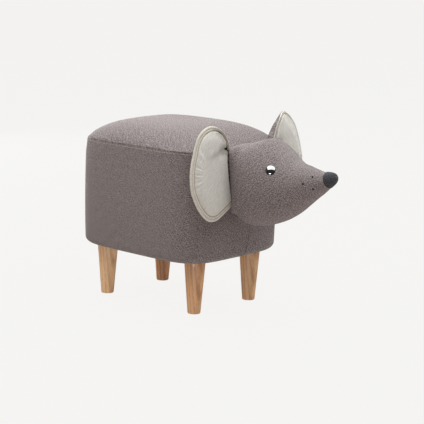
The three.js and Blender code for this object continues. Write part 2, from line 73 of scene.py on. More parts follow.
camera_place = Vector((2.0904, -2.4347, 0.8049))
camera_right = Vector((0.75163, 0.65918, 0.02316)).normalized()
camera_up = Vector((-0.14064, 0.12586, 0.98203)).normalized()
camera_back = camera_right.cross(camera_up)
bpy.ops.object.camera_add(location=camera_place)
camera = bpy.context.object
camera.name = "studio_camera"
camera.matrix_world = axes_at(camera_right, camera_up, camera_back, camera_place)
camera.data.sensor_width = 36
camera.data.lens = 137.72
camera.data.clip_end = 60
bpy.context.scene.camera = camera
print("camera", round((camera_place - Vector((0, 0, 0.18))).length, 2), "m from the stool")

# %% [markdown]
# ## Node helpers
# Every finish below is a small tree of shader nodes. One helper adds a node with its
# settings and its inputs, where an input is either a value or the socket that feeds it.
# An effect that several finishes share becomes a node group with named inputs and outputs.

# %% Node helpers
def put(tree, kind, inputs=None, **settings):
    """Adds a node. An input is a value, or the socket that feeds it."""
    made = tree.nodes.new(kind)
    for name, value in settings.items():
        setattr(made, name, value)
    for key, value in (inputs or {}).items():
        if isinstance(value, bpy.types.NodeSocket):
            tree.links.new(value, made.inputs[key])
        else:
            made.inputs[key].default_value = value
    return made


def math_node(tree, operation, *values):
    """The result of a sum, on values or sockets."""
    return put(tree, "ShaderNodeMath", dict(enumerate(values)), operation=operation).outputs[0]


def mix_colours(tree, share, first, second, blend="MIX"):
    """One colour laid over another by a share."""
    made = put(tree, "ShaderNodeMix", {"Factor": share, 6: first, 7: second},
               data_type="RGBA", blend_type=blend)
    return made.outputs[2]


def spread(tree, value, low, high, to_low=0.0, to_high=1.0):
    """A value brought from one range to another, and kept inside it."""
    return put(tree, "ShaderNodeMapRange", {
        "Value": value, "From Min": low, "From Max": high,
        "To Min": to_low, "To Max": to_high}).outputs[0]


def stretched_noise(tree, vector, scales, detail=2.0, roughness=0.6):
    """Noise whose grains are as long as the scales, in grains a metre, say."""
    moved = put(tree, "ShaderNodeMapping", {"Vector": vector, "Scale": scales},
                vector_type="POINT").outputs[0]
    return put(tree, "ShaderNodeTexNoise", {
        "Vector": moved, "Scale": 1.0, "Detail": detail, "Roughness": roughness}).outputs[0]


def new_group(name, inputs, outputs):
    """An empty node group with its named sockets, and its two end nodes."""
    tree = bpy.data.node_groups.new(name, "ShaderNodeTree")
    for label, kind, value in inputs:
        socket = tree.interface.new_socket(label, in_out="INPUT", socket_type=kind)
        if value is not None:
            socket.default_value = value
    for label, kind in outputs:
        tree.interface.new_socket(label, in_out="OUTPUT", socket_type=kind)
    given, result = tree.nodes.new("NodeGroupInput"), tree.nodes.new("NodeGroupOutput")
    return tree, given.outputs, result.inputs


def use_group(tree, group, inputs):
    """Places a group in a material and returns its outputs."""
    return put(tree, "ShaderNodeGroup", inputs, node_tree=group).outputs


def colour(red, green, blue):
    """A colour as it is seen on a screen, from 0 to 255, made linear for the shaders."""
    seen = [value / 255 for value in (red, green, blue)]
    return tuple(v / 12.92 if v <= 0.04045 else ((v + 0.055) / 1.055) ** 2.4
                 for v in seen) + (1.0,)


FLOAT, VECTOR, COLOUR = "NodeSocketFloat", "NodeSocketVector", "NodeSocketColor"

# %% [markdown]
# ## Shared effects
# A woven cloth is yarns that pass over and under each other. Seen close it has a regular
# relief, and from a step away only its flecks show, because each yarn is spun from fibres
# of several shades. The first group makes the relief and the second the flecks, so cloth,
# lining and felt can all use them with their own yarn counts and shades.

# %% Woven relief
yarn_relief, given, result = new_group(
    "Yarn relief",
    [("Vector", VECTOR, None), ("Yarns per metre", FLOAT, 800.0), ("Twill", FLOAT, 0.5)],
    [("Height", FLOAT)])
scaled = put(yarn_relief, "ShaderNodeVectorMath",
             {0: given["Vector"], "Scale": given["Yarns per metre"]}, operation="SCALE")
across = put(yarn_relief, "ShaderNodeSeparateXYZ", {0: scaled.outputs[0]}).outputs
turn_u = math_node(yarn_relief, "MULTIPLY", across[0], math.tau / 2)
turn_v = math_node(yarn_relief, "MULTIPLY", across[1], math.tau / 2)
plain = math_node(yarn_relief, "MULTIPLY",
                  math_node(yarn_relief, "SINE", turn_u), math_node(yarn_relief, "SINE", turn_v))
diagonal = math_node(yarn_relief, "SINE", math_node(yarn_relief, "ADD", turn_u, turn_v))
both = put(yarn_relief, "ShaderNodeMix", {
    "Factor": given["Twill"], 2: plain, 3: diagonal}, data_type="FLOAT").outputs[0]
yarn_relief.links.new(spread(yarn_relief, both, -1.0, 1.0), result["Height"])

# %% Flecks of mixed fibres
# the ribs of the twill run across the cloth at a slant, and fade in and out along their run
RIB_TURN, RIB_RUN, RIB_STEP = math.radians(127.6), 14 * MM, 2.6 * MM

fibre_flecks, given, result = new_group(
    "Fibre flecks",
    [("Vector", VECTOR, None), ("Fibres per metre", FLOAT, 1000.0), ("Dark", COLOUR, None),
     ("Middle", COLOUR, None), ("Light", COLOUR, None), ("Contrast", FLOAT, 1.0),
     ("Ribs", FLOAT, 0.0)],
    [("Color", COLOUR), ("Fuzz", FLOAT)])
fibres = put(fibre_flecks, "ShaderNodeVectorMath",
             {0: given["Vector"], "Scale": given["Fibres per metre"]},
             operation="SCALE").outputs[0]
warp = stretched_noise(fibre_flecks, fibres, (1.0, 0.7, 1.0))
weft = stretched_noise(fibre_flecks, fibres, (0.7, 1.0, 1.0))
clumps = stretched_noise(fibre_flecks, fibres, (0.42, 0.42, 0.42), detail=1.0)
crossed = math_node(fibre_flecks, "ADD", warp, weft)
all_of_it = math_node(fibre_flecks, "ADD", crossed, clumps)
along_ribs = put(fibre_flecks, "ShaderNodeMapping", {
    "Vector": given["Vector"], "Rotation": (0, 0, RIB_TURN), "Scale": (RIB_RUN, RIB_STEP, 1)},
    vector_type="TEXTURE").outputs[0]
ribs = put(fibre_flecks, "ShaderNodeTexNoise", {
    "Vector": along_ribs, "Scale": 1.0, "Detail": 1.0}).outputs[0]
from_middle = math_node(fibre_flecks, "SUBTRACT", all_of_it, 1.5)
from_flat = math_node(fibre_flecks, "SUBTRACT", ribs, 0.5)
centred = math_node(fibre_flecks, "ADD",
                    math_node(fibre_flecks, "MULTIPLY", from_middle, given["Contrast"]),
                    math_node(fibre_flecks, "MULTIPLY", from_flat, given["Ribs"]))
dark_share = spread(fibre_flecks, centred, -0.42, 0.0, 1.0, 0.0)
light_share = spread(fibre_flecks, centred, 0.0, 0.42)
toned = mix_colours(fibre_flecks, dark_share, given["Middle"], given["Dark"])
flecked = mix_colours(fibre_flecks, light_share, toned, given["Light"])
fibre_flecks.links.new(flecked, result["Color"])
fibre_flecks.links.new(crossed, result["Fuzz"])

# %% [markdown]
# Wood shows three things: broad bands where the cut crosses the year rings, fine fibres
# along the grain, and in oak short dark pores. The same group serves the lacquered legs,
# the pine posts and the plywood, each with its own shades and band width.

# %% Wood figure
GRAIN_SLANT = 0.03

wood_figure, given, result = new_group(
    "Wood figure",
    [("Vector", VECTOR, None), ("Bands per metre", FLOAT, 90.0), ("Pores", FLOAT, 1.0),
     ("Light", COLOUR, None), ("Dark", COLOUR, None)],
    [("Color", COLOUR), ("Roughness", FLOAT), ("Height", FLOAT)])
drift = stretched_noise(wood_figure, given["Vector"], (22.0, 22.0, 5.0), detail=2.0)
parts = put(wood_figure, "ShaderNodeSeparateXYZ", {0: given["Vector"]}).outputs
slanted = math_node(wood_figure, "ADD", parts[0],
                    math_node(wood_figure, "MULTIPLY", parts[2], GRAIN_SLANT))
banded = math_node(wood_figure, "ADD",
                   math_node(wood_figure, "MULTIPLY", slanted, given["Bands per metre"]),
                   math_node(wood_figure, "MULTIPLY", drift, 1.6))
rings = math_node(wood_figure, "SINE", math_node(wood_figure, "MULTIPLY", banded, math.tau))
fibre = stretched_noise(wood_figure, given["Vector"], (900.0, 900.0, 24.0), detail=3.0)
pore_noise = stretched_noise(wood_figure, given["Vector"], (1500.0, 1500.0, 110.0), detail=1.0)
pores = math_node(wood_figure, "MULTIPLY",
                  spread(wood_figure, pore_noise, 0.6, 0.72), given["Pores"])
streak = stretched_noise(wood_figure, given["Vector"], (55.0, 55.0, 3.0), detail=1.0)
ring_share = spread(wood_figure, rings, -0.6, 1.0, -0.15, 0.25)
fibre_share = spread(wood_figure, fibre, 0.3, 0.7, -0.1, 0.5)
streak_share = spread(wood_figure, streak, 0.35, 0.65, -0.15, 0.35)
shade = math_node(wood_figure, "ADD", math_node(wood_figure, "ADD", ring_share, fibre_share),
                  streak_share)
shade = math_node(wood_figure, "ADD", shade, math_node(wood_figure, "MULTIPLY", pores, 0.5))
wood_figure.links.new(mix_colours(wood_figure, shade, given["Light"], given["Dark"]),
                      result["Color"])
wood_figure.links.new(spread(wood_figure, shade, 0.0, 1.0, 0.42, 0.62), result["Roughness"])
wood_figure.links.new(math_node(wood_figure, "SUBTRACT", 1.0, shade), result["Height"])

# %% [markdown]
# ## Finishes
# A material holds the shader itself with its plain numbers, and the groups feed only its
# colour, roughness and relief. Cloth reads the piece's own map of yarns, which is laid in
# metres, and wood reads the place in the object.

# %% A new finish
finishes = {}


def new_finish(slot, **plain_values):
    """A material with its shader, kept under the name of the slot that it finishes."""
    made = bpy.data.materials.new(slot)
    made.use_nodes = True
    tree = made.node_tree
    shader = tree.nodes["Principled BSDF"]
    for name, value in plain_values.items():
        shader.inputs[name.replace("_", " ")].default_value = value
    finishes[slot] = made
    return tree, shader


def cloth_map(tree):
    return put(tree, "ShaderNodeUVMap", uv_map="yarns").outputs[0]


def object_place(tree):
    return put(tree, "ShaderNodeTexCoord").outputs["Object"]


def add_relief(tree, shader, height, distance, strength=1.0):
    bump = put(tree, "ShaderNodeBump", {
        "Height": height, "Distance": distance, "Strength": strength})
    tree.links.new(bump.outputs[0], shader.inputs["Normal"])


# %% Upholstery cloth
def cloth_finish(slot, shades, yarns, fibres, twill, contrast, ribs, relief, **plain_values):
    tree, shader = new_finish(slot, **plain_values)
    vector = cloth_map(tree)
    dark, middle, light = shades
    flecks = use_group(tree, fibre_flecks, {
        "Vector": vector, "Fibres per metre": fibres, "Contrast": contrast, "Ribs": ribs,
        "Dark": dark, "Middle": middle, "Light": light})
    weave = use_group(tree, yarn_relief, {
        "Vector": vector, "Yarns per metre": yarns, "Twill": twill})
    height = math_node(tree, "ADD", weave["Height"],
                       math_node(tree, "MULTIPLY", flecks["Fuzz"], 0.8))
    tree.links.new(flecks["Color"], shader.inputs["Base Color"])
    add_relief(tree, shader, height, relief)
    return tree, shader, flecks["Color"]


cloth_finish("upholstery",
             (colour(76, 67.5, 66), colour(114, 103.5, 102), colour(157, 144.5, 143)),
             yarns=900.0, fibres=1150.0, twill=0.6, contrast=2.2, ribs=0.6, relief=0.00012,
             Roughness=0.95, Specular_IOR_Level=0.1, Sheen_Weight=0.08, Sheen_Roughness=0.5)
cloth_finish("nose_felt",
             (colour(40, 40, 43), colour(57, 57, 60), colour(84, 84, 88)),
             yarns=600.0, fibres=1300.0, twill=0.1, contrast=1.7, ribs=0.0, relief=0.0004,
             Roughness=0.95, Specular_IOR_Level=0.1, Sheen_Weight=0.1)

# %% Ear lining
FIRST_GROOVE, SECOND_GROOVE = 4.9 * MM, 10.4 * MM

tree, shader, lining_shade = cloth_finish(
    "ear_lining", (colour(181, 174, 166), colour(200, 193.5, 186), colour(219, 213.5, 207)),
    yarns=700.0, fibres=1100.0, twill=0.9, contrast=0.8, ribs=0.8, relief=0.00025,
    Roughness=0.85, Specular_IOR_Level=0.1, Sheen_Weight=0.1)
# distance from the edge of the ear, and painted shade in the pinched crease and the curl
edge_map = put(tree, "ShaderNodeUVMap", uv_map="from_edge").outputs[0]
from_edge, crease_painted_shade = put(tree, "ShaderNodeSeparateXYZ", {0: edge_map}).outputs[:2]
on_rim = spread(tree, from_edge, SECOND_GROOVE, SECOND_GROOVE + 0.6 * MM, 1.0, 0.0)
shade = mix_colours(tree, on_rim, lining_shade, colour(255, 252, 247), "MULTIPLY")
# painted shade: the lining is darkened along the two stitched grooves of the rim, where shade
# falls
for groove in (FIRST_GROOVE, SECOND_GROOVE):
    beside = math_node(tree, "ABSOLUTE", math_node(tree, "SUBTRACT", from_edge, groove))
    groove_painted_shade = spread(tree, beside, 0.3 * MM, 0.8 * MM, 1.0, 0.0)
    shade = mix_colours(tree, groove_painted_shade, shade, colour(190, 174, 160), "MULTIPLY")
# painted shade: the pinched crease and the roll inside the curl are darkened in the colour
shade = mix_colours(tree, crease_painted_shade, shade, colour(58, 48, 42), "MULTIPLY")
tree.links.new(shade, shader.inputs["Base Color"])
print("cloth finishes:", sorted(finishes))

# %% Thread, gloss and wood
def thread_finish(slot, dark, middle, light, **plain_values):
    tree, shader = new_finish(slot, **plain_values)
    strands = use_group(tree, fibre_flecks, {
        "Vector": object_place(tree), "Fibres per metre": 1500.0, "Contrast": 1.0,
        "Dark": dark, "Middle": middle, "Light": light})
    tree.links.new(strands["Color"], shader.inputs["Base Color"])
    add_relief(tree, shader, strands["Fuzz"], 0.0002)


thread_finish("black_thread", colour(6, 5, 5), colour(14, 12, 12), colour(30, 28, 28),
              Roughness=0.8, Specular_IOR_Level=0.2, Sheen_Weight=0.03)
thread_finish("pale_thread", colour(160, 148, 128), colour(192, 181, 160),
              colour(218, 209, 190), Roughness=0.7, Sheen_Weight=0.2)

tree, shader = new_finish("eye_gloss", IOR=1.9, Coat_Weight=1.0, Coat_Roughness=0.02,
                          Coat_IOR=1.9)
haze = stretched_noise(tree, object_place(tree), (300.0, 300.0, 300.0), detail=3.0)
tree.links.new(mix_colours(tree, haze, colour(8, 8, 9), colour(15, 14, 15)),
               shader.inputs["Base Color"])
tree.links.new(spread(tree, haze, 0.3, 0.7, 0.03, 0.07), shader.inputs["Roughness"])


def planks_and_painted_shade(tree, shade):
    """Each leg has its plank's own tone, and the rear left one is darkened with painted shade."""
    parts = put(tree, "ShaderNodeSeparateXYZ", {0: object_place(tree)}).outputs
    behind = spread(tree, parts[0], -0.15, -0.1, 1.0, 0.0)
    left = spread(tree, parts[1], -0.02, 0.02)
    front_tone = mix_colours(tree, left, colour(232, 214, 200), colour(228, 217, 209))
    # painted shade: the rear left leg, in the seat's shadow, takes the darkest tone
    rear_tone = mix_colours(tree, left, colour(248, 243, 238), colour(207, 182, 161))
    tone = mix_colours(tree, behind, front_tone, rear_tone)
    return mix_colours(tree, 1.0, shade, tone, "MULTIPLY")


def wood_finish(slot, light, dark, bands, pores, relief, **plain_values):
    tree, shader = new_finish(slot, **plain_values)
    figure = use_group(tree, wood_figure, {
        "Vector": object_place(tree), "Bands per metre": bands, "Pores": pores,
        "Light": light, "Dark": dark})
    shade = planks_and_painted_shade(tree, figure["Color"]) if slot == "leg_wood" else figure["Color"]
    tree.links.new(shade, shader.inputs["Base Color"])
    tree.links.new(figure["Roughness"], shader.inputs["Roughness"])
    add_relief(tree, shader, figure["Height"], relief)


wood_finish("leg_wood", colour(248, 204, 157), colour(180, 127, 84), 150.0, 0.9, 0.00012,
            Coat_Weight=0.15, Coat_Roughness=0.3)
wood_finish("plywood", colour(214, 186, 146), colour(176, 140, 98), 40.0, 0.4, 0.0002)
wood_finish("post_wood", colour(224, 198, 152), colour(190, 146, 92), 60.0, 0.0, 0.0002)
print("finishes:", sorted(finishes))

# %% [markdown]
# The last finishes are inside the seat, where nobody looks unless it is turned over or
# taken apart: hardboard, foam, fibre wadding, the thin black dust cloth and zinc-plated
# steel. They still get the grain that such material has.

# %% Hidden finishes
def mottled_finish(slot, first, second, grains, relief, roughness, **plain_values):
    tree, shader = new_finish(slot, **plain_values)
    grain = stretched_noise(tree, object_place(tree), (grains, grains, grains), detail=4.0)
    share = spread(tree, grain, 0.35, 0.65)
    tree.links.new(mix_colours(tree, share, first, second), shader.inputs["Base Color"])
    tree.links.new(spread(tree, grain, 0.3, 0.7, *roughness), shader.inputs["Roughness"])
    add_relief(tree, shader, grain, relief)


mottled_finish("hardboard", colour(98, 66, 43), colour(128, 92, 62), 500.0, 0.0002, (0.7, 0.9))
mottled_finish("foam", colour(226, 218, 190), colour(240, 235, 214), 900.0, 0.0005, (0.9, 1.0))
mottled_finish("wadding", colour(228, 227, 222), colour(244, 243, 240), 260.0, 0.002, (0.95, 1.0))
mottled_finish("dust_cloth", colour(30, 30, 32), colour(50, 50, 53), 700.0, 0.0003, (0.85, 1.0))
mottled_finish("zinc_steel", colour(172, 176, 180), colour(204, 207, 210), 420.0, 0.00003,
               (0.28, 0.45), Metallic=1.0)

slot_of = {row["node"]: row["material_slot"] for row in frame["record"]["subparts"]}
for node, shown in frame["nodes"].items():
    shown.data.materials.clear()
    shown.data.materials.append(finishes[slot_of[node]])
print("dressed", len(slot_of), "CAD nodes")

# %% [markdown]
# ## Studio
# The photograph shows a plain near-white ground that runs on without a horizon and hardly
# takes a shadow. A large floor glows softly in that shade, and the world behind it has the
# same one. A wide lamp overhead makes the top of the seat the brightest part, and weaker
# ones light the tail end, the flank and the front.

# %% Floor and world
GROUND, WARM_BOUNCE = colour(244, 243, 241), colour(248, 244, 240)
FLOOR_GLOW, FLOOR_BOUNCE, SHADED_BOUNCE, MIRRORED, SKY_LIGHT = 0.99, 1.05, 0.95, 0.05, 0.1
# the middle of the shaded floor under the seat, and how steeply the shade ends along and
# across the stool
SHADE_BACK, SHADE_ALONG, SHADE_ACROSS = 0.115, 2.9, 3.4

bpy.ops.mesh.primitive_plane_add(size=40)
floor = bpy.context.object
floor.name = "studio_floor"
floor_finish = bpy.data.materials.new("studio_floor")
floor_finish.use_nodes = True
tree = floor_finish.node_tree
shader = tree.nodes["Principled BSDF"]
shader.inputs["Base Color"].default_value = (0.01, 0.01, 0.01, 1)
shader.inputs["Specular IOR Level"].default_value = 0.0
rays = put(tree, "ShaderNodeLightPath").outputs
around = put(tree, "ShaderNodeMapping", {
    "Vector": object_place(tree), "Location": (SHADE_BACK * SHADE_ALONG, 0, 0),
    "Scale": (SHADE_ALONG, SHADE_ACROSS, 0)}, vector_type="POINT").outputs[0]
away = put(tree, "ShaderNodeVectorMath", {0: around}, operation="LENGTH").outputs["Value"]
bounce = spread(tree, away, 0.6, 1.9, SHADED_BOUNCE, FLOOR_BOUNCE)
tree.links.new(mix_colours(tree, rays["Is Camera Ray"], WARM_BOUNCE, GROUND),
               shader.inputs["Emission Color"])
bounce = put(tree, "ShaderNodeMix", {"Factor": rays["Is Glossy Ray"], 2: bounce, 3: MIRRORED},
             data_type="FLOAT").outputs[0]
glow = put(tree, "ShaderNodeMix", {"Factor": rays["Is Camera Ray"], 2: bounce, 3: FLOOR_GLOW},
           data_type="FLOAT")
tree.links.new(glow.outputs[0], shader.inputs["Emission Strength"])
floor.data.materials.append(floor_finish)

world = bpy.data.worlds.new("studio_world")
bpy.context.scene.world = world
world.use_nodes = True
tree = world.node_tree
seen = put(tree, "ShaderNodeLightPath").outputs["Is Camera Ray"]
ground = tree.nodes["Background"]
ground.inputs["Color"].default_value = GROUND
tree.links.new(spread(tree, seen, 0.0, 1.0, SKY_LIGHT, 1.0), ground.inputs["Strength"])


# %% Lamps
def softbox(name, place, aim, width, depth, power):
    """A rectangular lamp that faces a point."""
    bpy.ops.object.light_add(type="AREA", location=place)
    lamp = bpy.context.object
    lamp.name = name
    lamp.data.shape = "RECTANGLE"
    lamp.data.size, lamp.data.size_y = width, depth
    lamp.data.energy = power
    lamp.visible_camera = False
    lamp.rotation_euler = (Vector(aim) - Vector(place)).to_track_quat("-Z", "Y").to_euler()
    return lamp


seat_middle = (-0.05, 0.0, 0.25)
scrim = softbox("ceiling_scrim", (0.0, 0.35, 2.2), (0.0, 0.35, 0.0), 4.0, 4.8, 160.0)
scrim.data.color = (0.93, 0.985, 1.0)
scrim.visible_glossy = False
softbox("tail_lamp", (-2.2, 0.8, 0.8), seat_middle, 1.2, 1.2, 50.0)
softbox("left_lamp", (-2.5, -1.0, 0.6), seat_middle, 1.2, 0.9, 7.0)
softbox("top_lamp", (-0.3, -0.55, 2.1), seat_middle, 1.7, 1.5, 10.0)
softbox("back_lamp", (-0.9, 0.9, 2.0), seat_middle, 1.5, 1.5, 1.5)
front_lamp = softbox("front_lamp", (1.7, 2.2, 0.55), (0.1, 0.05, 0.22), 1.2, 1.0, 10.0)
front_lamp.data.color = (0.75, 0.92, 1.0)
# two lamps that only gloss shows: a bright overhead one, square to the camera, for the
# highlight of the eye, and a low one for its glint
overhead = softbox("eye_highlight", (0.42, 0.27, 2.15), (0.42, 0.27, 0.0), 4.2, 3.3, 205.0)
overhead.rotation_euler.z += math.radians(41)
glint = softbox("eye_glint", (0.52, -0.83, 0.04), (0.166, -0.05, 0.3), 0.42, 0.4, 7.0)
overhead.visible_diffuse = glint.visible_diffuse = False
bpy.context.scene.view_settings.view_transform = "Standard"

# %% [markdown]
# ## Modelling helpers
# Each new piece starts as a primitive and is shaped in edit mode. Where an outline was
# read off the photograph, a rule moves every point of the primitive to its real place,
# because no operator draws such a curve. Each piece ends with its place in its mesh.

# %% Modelling helpers
def start(name):
    """Names the primitive that was just added, and makes it the only one selected."""
    piece = bpy.context.object
    piece.name = piece.data.name = name
    only(piece)
    return piece


def only(piece):
    bpy.ops.object.select_all(action="DESELECT")
    piece.select_set(True)
    bpy.context.view_layer.objects.active = piece


def shape(piece, rule):
    """Moves every point of a piece to where the rule puts it."""
    for point in piece.data.vertices:
        point.co = rule(point.co)
    piece.data.update()


def edit(piece, *steps):
    """Runs steps in edit mode, with all of the piece selected at the start."""
    only(piece)
    bpy.ops.object.mode_set(mode="EDIT")
    bpy.ops.mesh.select_all(action="SELECT")
    for step in steps:
        step()
    bpy.ops.object.mode_set(mode="OBJECT")


def merge_close():
    bpy.ops.mesh.remove_doubles(threshold=0.02 * MM)


def face_outwards():
    bpy.ops.mesh.select_all(action="SELECT")
    bpy.ops.mesh.normals_make_consistent(inside=False)


def select_rim():
    bpy.ops.mesh.select_all(action="DESELECT")
    bpy.ops.mesh.select_mode(type="EDGE")
    bpy.ops.mesh.select_non_manifold()


def close_holes():
    select_rim()
    bpy.ops.mesh.fill_holes(sides=0)


def bridge_rims():
    bpy.ops.mesh.bridge_edge_loops()


def pull(rise, along, across, middle=(0, 0, 0)):
    """Extrudes the selected edges upwards and scales them about a middle."""
    def step():
        bpy.ops.mesh.extrude_edges_move(TRANSFORM_OT_translate={"value": (0, 0, rise)})
        bpy.ops.transform.resize(value=(along, across, 1), center_override=middle)
    return step


def smooth(piece, degrees=40):
    only(piece)
    bpy.ops.object.shade_smooth_by_angle(angle=math.radians(degrees))


def lay_yarns(piece, rule):
    """Writes the map that cloth reads: for each corner of a face, where it is on the cloth."""
    layer = piece.data.uv_layers.get("yarns") or piece.data.uv_layers.new(name="yarns")
    points = piece.data.vertices
    for face in piece.data.polygons:
        for loop in face.loop_indices:
            place = points[piece.data.loops[loop].vertex_index].co
            layer.data[loop].uv = rule(place, face.center)


def finish_piece(piece, slot, body, *nodes):
    """Gives a piece its finish and its body, and hides the CAD nodes that it stands for."""
    piece.data.materials.clear()
    piece.data.materials.append(finishes[slot])
    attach(piece, body)
    if nodes:
        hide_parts(*nodes)
    print(piece.name, len(piece.data.polygons), "faces")


# %% [markdown]
# Stitching shows as a row of short, fat threads that dip into the cloth at both ends. One
# stitch is a small round bead drawn out along the seam. It has few faces, because there
# are hundreds of them, and the copies of one row are joined into one piece.

# %% Stitching
def run_along(points):
    """How far along a line each of its points is."""
    steps = np.linalg.norm(np.diff(points, axis=0), axis=1)
    return np.concatenate([[0], np.cumsum(steps)])


def sew_row(name, path, outwards, pitch, length, width):
    """Lays stitches along a path, whose points each have a direction out of the cloth."""
    run = run_along(path)
    bpy.ops.mesh.primitive_uv_sphere_add(segments=6, ring_count=5, radius=1)
    first = start(name)
    edit(first, lambda: bpy.ops.transform.rotate(
        value=math.pi / 2, orient_axis="Y", center_override=(0, 0, 0)))
    shape(first, lambda place: Vector((place.x * length / 2, place.y * width / 2,
                                       place.z * width / 2)))
    row = []
    for number in range(int(run[-1] / pitch)):
        at = (number + 0.5) * pitch
        place = Vector([np.interp(at, run, column) for column in path.T])
        ahead = Vector([np.interp(at + pitch / 4, run, column) for column in path.T])
        out = Vector([np.interp(at, run, column) for column in outwards.T])
        along = (ahead - place).normalized()
        out = (out - along * out.dot(along)).normalized()
        across = out.cross(along)
        stitch = first.copy()
        stitch.data = first.data.copy()
        stitch.data.transform(axes_at(along, across, out, place))
        bpy.context.collection.objects.link(stitch)
        row.append(stitch)
    bpy.data.objects.remove(first)
    bpy.ops.object.select_all(action="DESELECT")
    for stitch in row:
        stitch.select_set(True)
    bpy.context.view_layer.objects.active = row[0]
    bpy.ops.object.join()
    sewn = bpy.context.object
    sewn.name = sewn.data.name = name
    sewn.data.materials.clear()
    sewn.data.materials.append(finishes["pale_thread"])
    smooth(sewn, 60)
    print(name, len(row), "stitches")
    return sewn


# %% [markdown]
# ## Seat
# The seat is a foam-padded box in grey-brown cloth. From above it is a rounded rectangle,
# a touch wider at the head end. The flat grid of the top is pressed to that outline and
# raised into a crown. The wall is one ring on the same outline, extruded downwards, round
# the soft lower edge and under the base, where the hem is stapled.

# %% Outline of the seat
HALF_LENGTH, HALF_WIDTH = 171.3 * MM, 142.9 * MM
FRONT_CORNER, BACK_CORNER = 4.8, 5.2
HEAD_END_FLARE = 0.038
UNDERSIDE, SEAM, CROWN = 106.9 * MM, 329.2 * MM, 40.8 * MM
SIDE_BULGE = 1.7 * MM
# how flat the crown is, and how much rounder its contours grow towards the middle
CROWN_POWER, CROWN_ROUNDING = 4.2, 0.56
wall_low, wall_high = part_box("cover_side_band")
SEAT_X = (wall_low.x + wall_high.x) / 2


def on_outline(u, v, share=1.0, inset=0.0):
    """Brings a direction from the middle of the seat to its outline."""
    power = FRONT_CORNER if u > 0 else BACK_CORNER
    reach = (abs(u) ** power + abs(v) ** power) ** (-1 / power)
    x = (HALF_LENGTH * share - inset) * u * reach
    flare = 1 + HEAD_END_FLARE * x / HALF_LENGTH
    return SEAT_X + x, (HALF_WIDTH * share - inset) * v * reach * flare


def ease(value, low, high):
    """A smooth step from 0 to 1 between two values."""
    t = np.clip((value - low) / (high - low), 0, 1)
    return t * t * (3 - 2 * t)


TAIL_LEAN, TAIL_NARROWING, SEAM_SAG, SEAM_STEP = 2.3 * MM, 0.012, 2.6 * MM, 1.7 * MM
LEAN_DEPTH = 20 * MM


def lean_in(place):
    """At the tail end the foam gives way, so the seam sags and the wall leans in below it."""
    share = float(np.clip((place.z - SEAM) / LEAN_DEPTH + 1, 0, 1) ** 2
                  * ease(SEAT_X - place.x, 0.35 * HALF_LENGTH, 0.95 * HALF_LENGTH))
    sag = float(ease(SEAT_X - place.x, -0.58 * HALF_LENGTH, HALF_LENGTH)
                * ease(place.z, SEAM - 60 * MM, SEAM - 20 * MM)
                * (1 - ease(place.z, SEAM + SEAM_STEP, SEAM + 13 * MM)))
    return Vector((place.x + TAIL_LEAN * share, place.y * (1 - TAIL_NARROWING * share),
                   place.z - SEAM_SAG * sag))


def crown(share, rise=CROWN):
    return rise * (1 - share ** CROWN_POWER)


def bulge(z):
    up = (z - UNDERSIDE) / (SEAM - UNDERSIDE)
    return SIDE_BULGE * 4 * up * (1 - up)


# %% Crowned top
FOAM_FLOOR = SEAM - 18.7 * MM


def press_to_crown(place):
    share = max(abs(place.x), abs(place.y))
    if share < 1e-6:
        return Vector((SEAT_X, 0, SEAM + CROWN))
    x, y = on_outline(place.x / share, place.y / share, share)
    radius = math.hypot((x - SEAT_X) / HALF_LENGTH, y / HALF_WIDTH)
    rounder = share + CROWN_ROUNDING * (radius - share) * (1 - share)
    return Vector((x, y, SEAM + SEAM_STEP + crown(rounder, CROWN - SEAM_STEP)))


def pull_along(profile):
    """Pulls the edges of the seat through insets from its outline, each at a height."""
    return [pull(z_to - z_from, (HALF_LENGTH - inset_to) / (HALF_LENGTH - inset_from),
                 (HALF_WIDTH - inset_to) / (HALF_WIDTH - inset_from), (SEAT_X, 0, 0))
            for (inset_from, z_from), (inset_to, z_to) in zip(profile, profile[1:])]


bpy.ops.mesh.primitive_grid_add(x_subdivisions=84, y_subdivisions=70, size=2)
seat_top = start("seat_top")
shape(seat_top, press_to_crown)
top_rim = [(0.0, SEAM + SEAM_STEP), (0.06 * MM, SEAM + 0.9 * MM), (0.2 * MM, SEAM + 0.4 * MM),
           (0.45 * MM, SEAM + 0.15 * MM), (2.8 * MM, SEAM + 0.1 * MM), (3.0 * MM, FOAM_FLOOR)]
edit(seat_top, select_rim, *pull_along(top_rim), close_holes, face_outwards)
shape(seat_top, lean_in)
lay_yarns(seat_top, lambda place, middle: (place.x, place.y))
smooth(seat_top, 50)
finish_piece(seat_top, "upholstery", "root", "cover_top_panel", "seat_foam")

# %% Wall, lower edge and hem
WALL_POINTS = 176
LOWER_EDGE = 14 * MM
HEM_LOW = UNDERSIDE + 1.1 * MM
edge_z = HEM_LOW + LOWER_EDGE
wall_profile = [(16.9 * MM, FOAM_FLOOR - 0.5 * MM), (2.6 * MM, FOAM_FLOOR - 0.5 * MM),
                (2.5 * MM, SEAM - 0.9 * MM), (2.2 * MM, SEAM - 0.1 * MM),
                (0.45 * MM, SEAM - 0.1 * MM), (0.2 * MM, SEAM - 0.35 * MM),
                (0.05 * MM, SEAM - 0.8 * MM)]
for step in range(9):
    z = SEAM - 2.4 * MM + (edge_z - SEAM + 2.4 * MM) * step / 8
    wall_profile.append((-bulge(z), z))
for step in range(1, 7):
    angle = math.pi / 2 * step / 6
    z = edge_z - LOWER_EDGE * math.sin(angle)
    wall_profile.append((-bulge(z) + LOWER_EDGE * (1 - math.cos(angle)), z))
wall_profile += [(30 * MM, HEM_LOW), (30 * MM, HEM_LOW + 1.6 * MM),
                 (17.2 * MM, HEM_LOW + 1.8 * MM), (16.9 * MM, HEM_LOW + 4 * MM)]

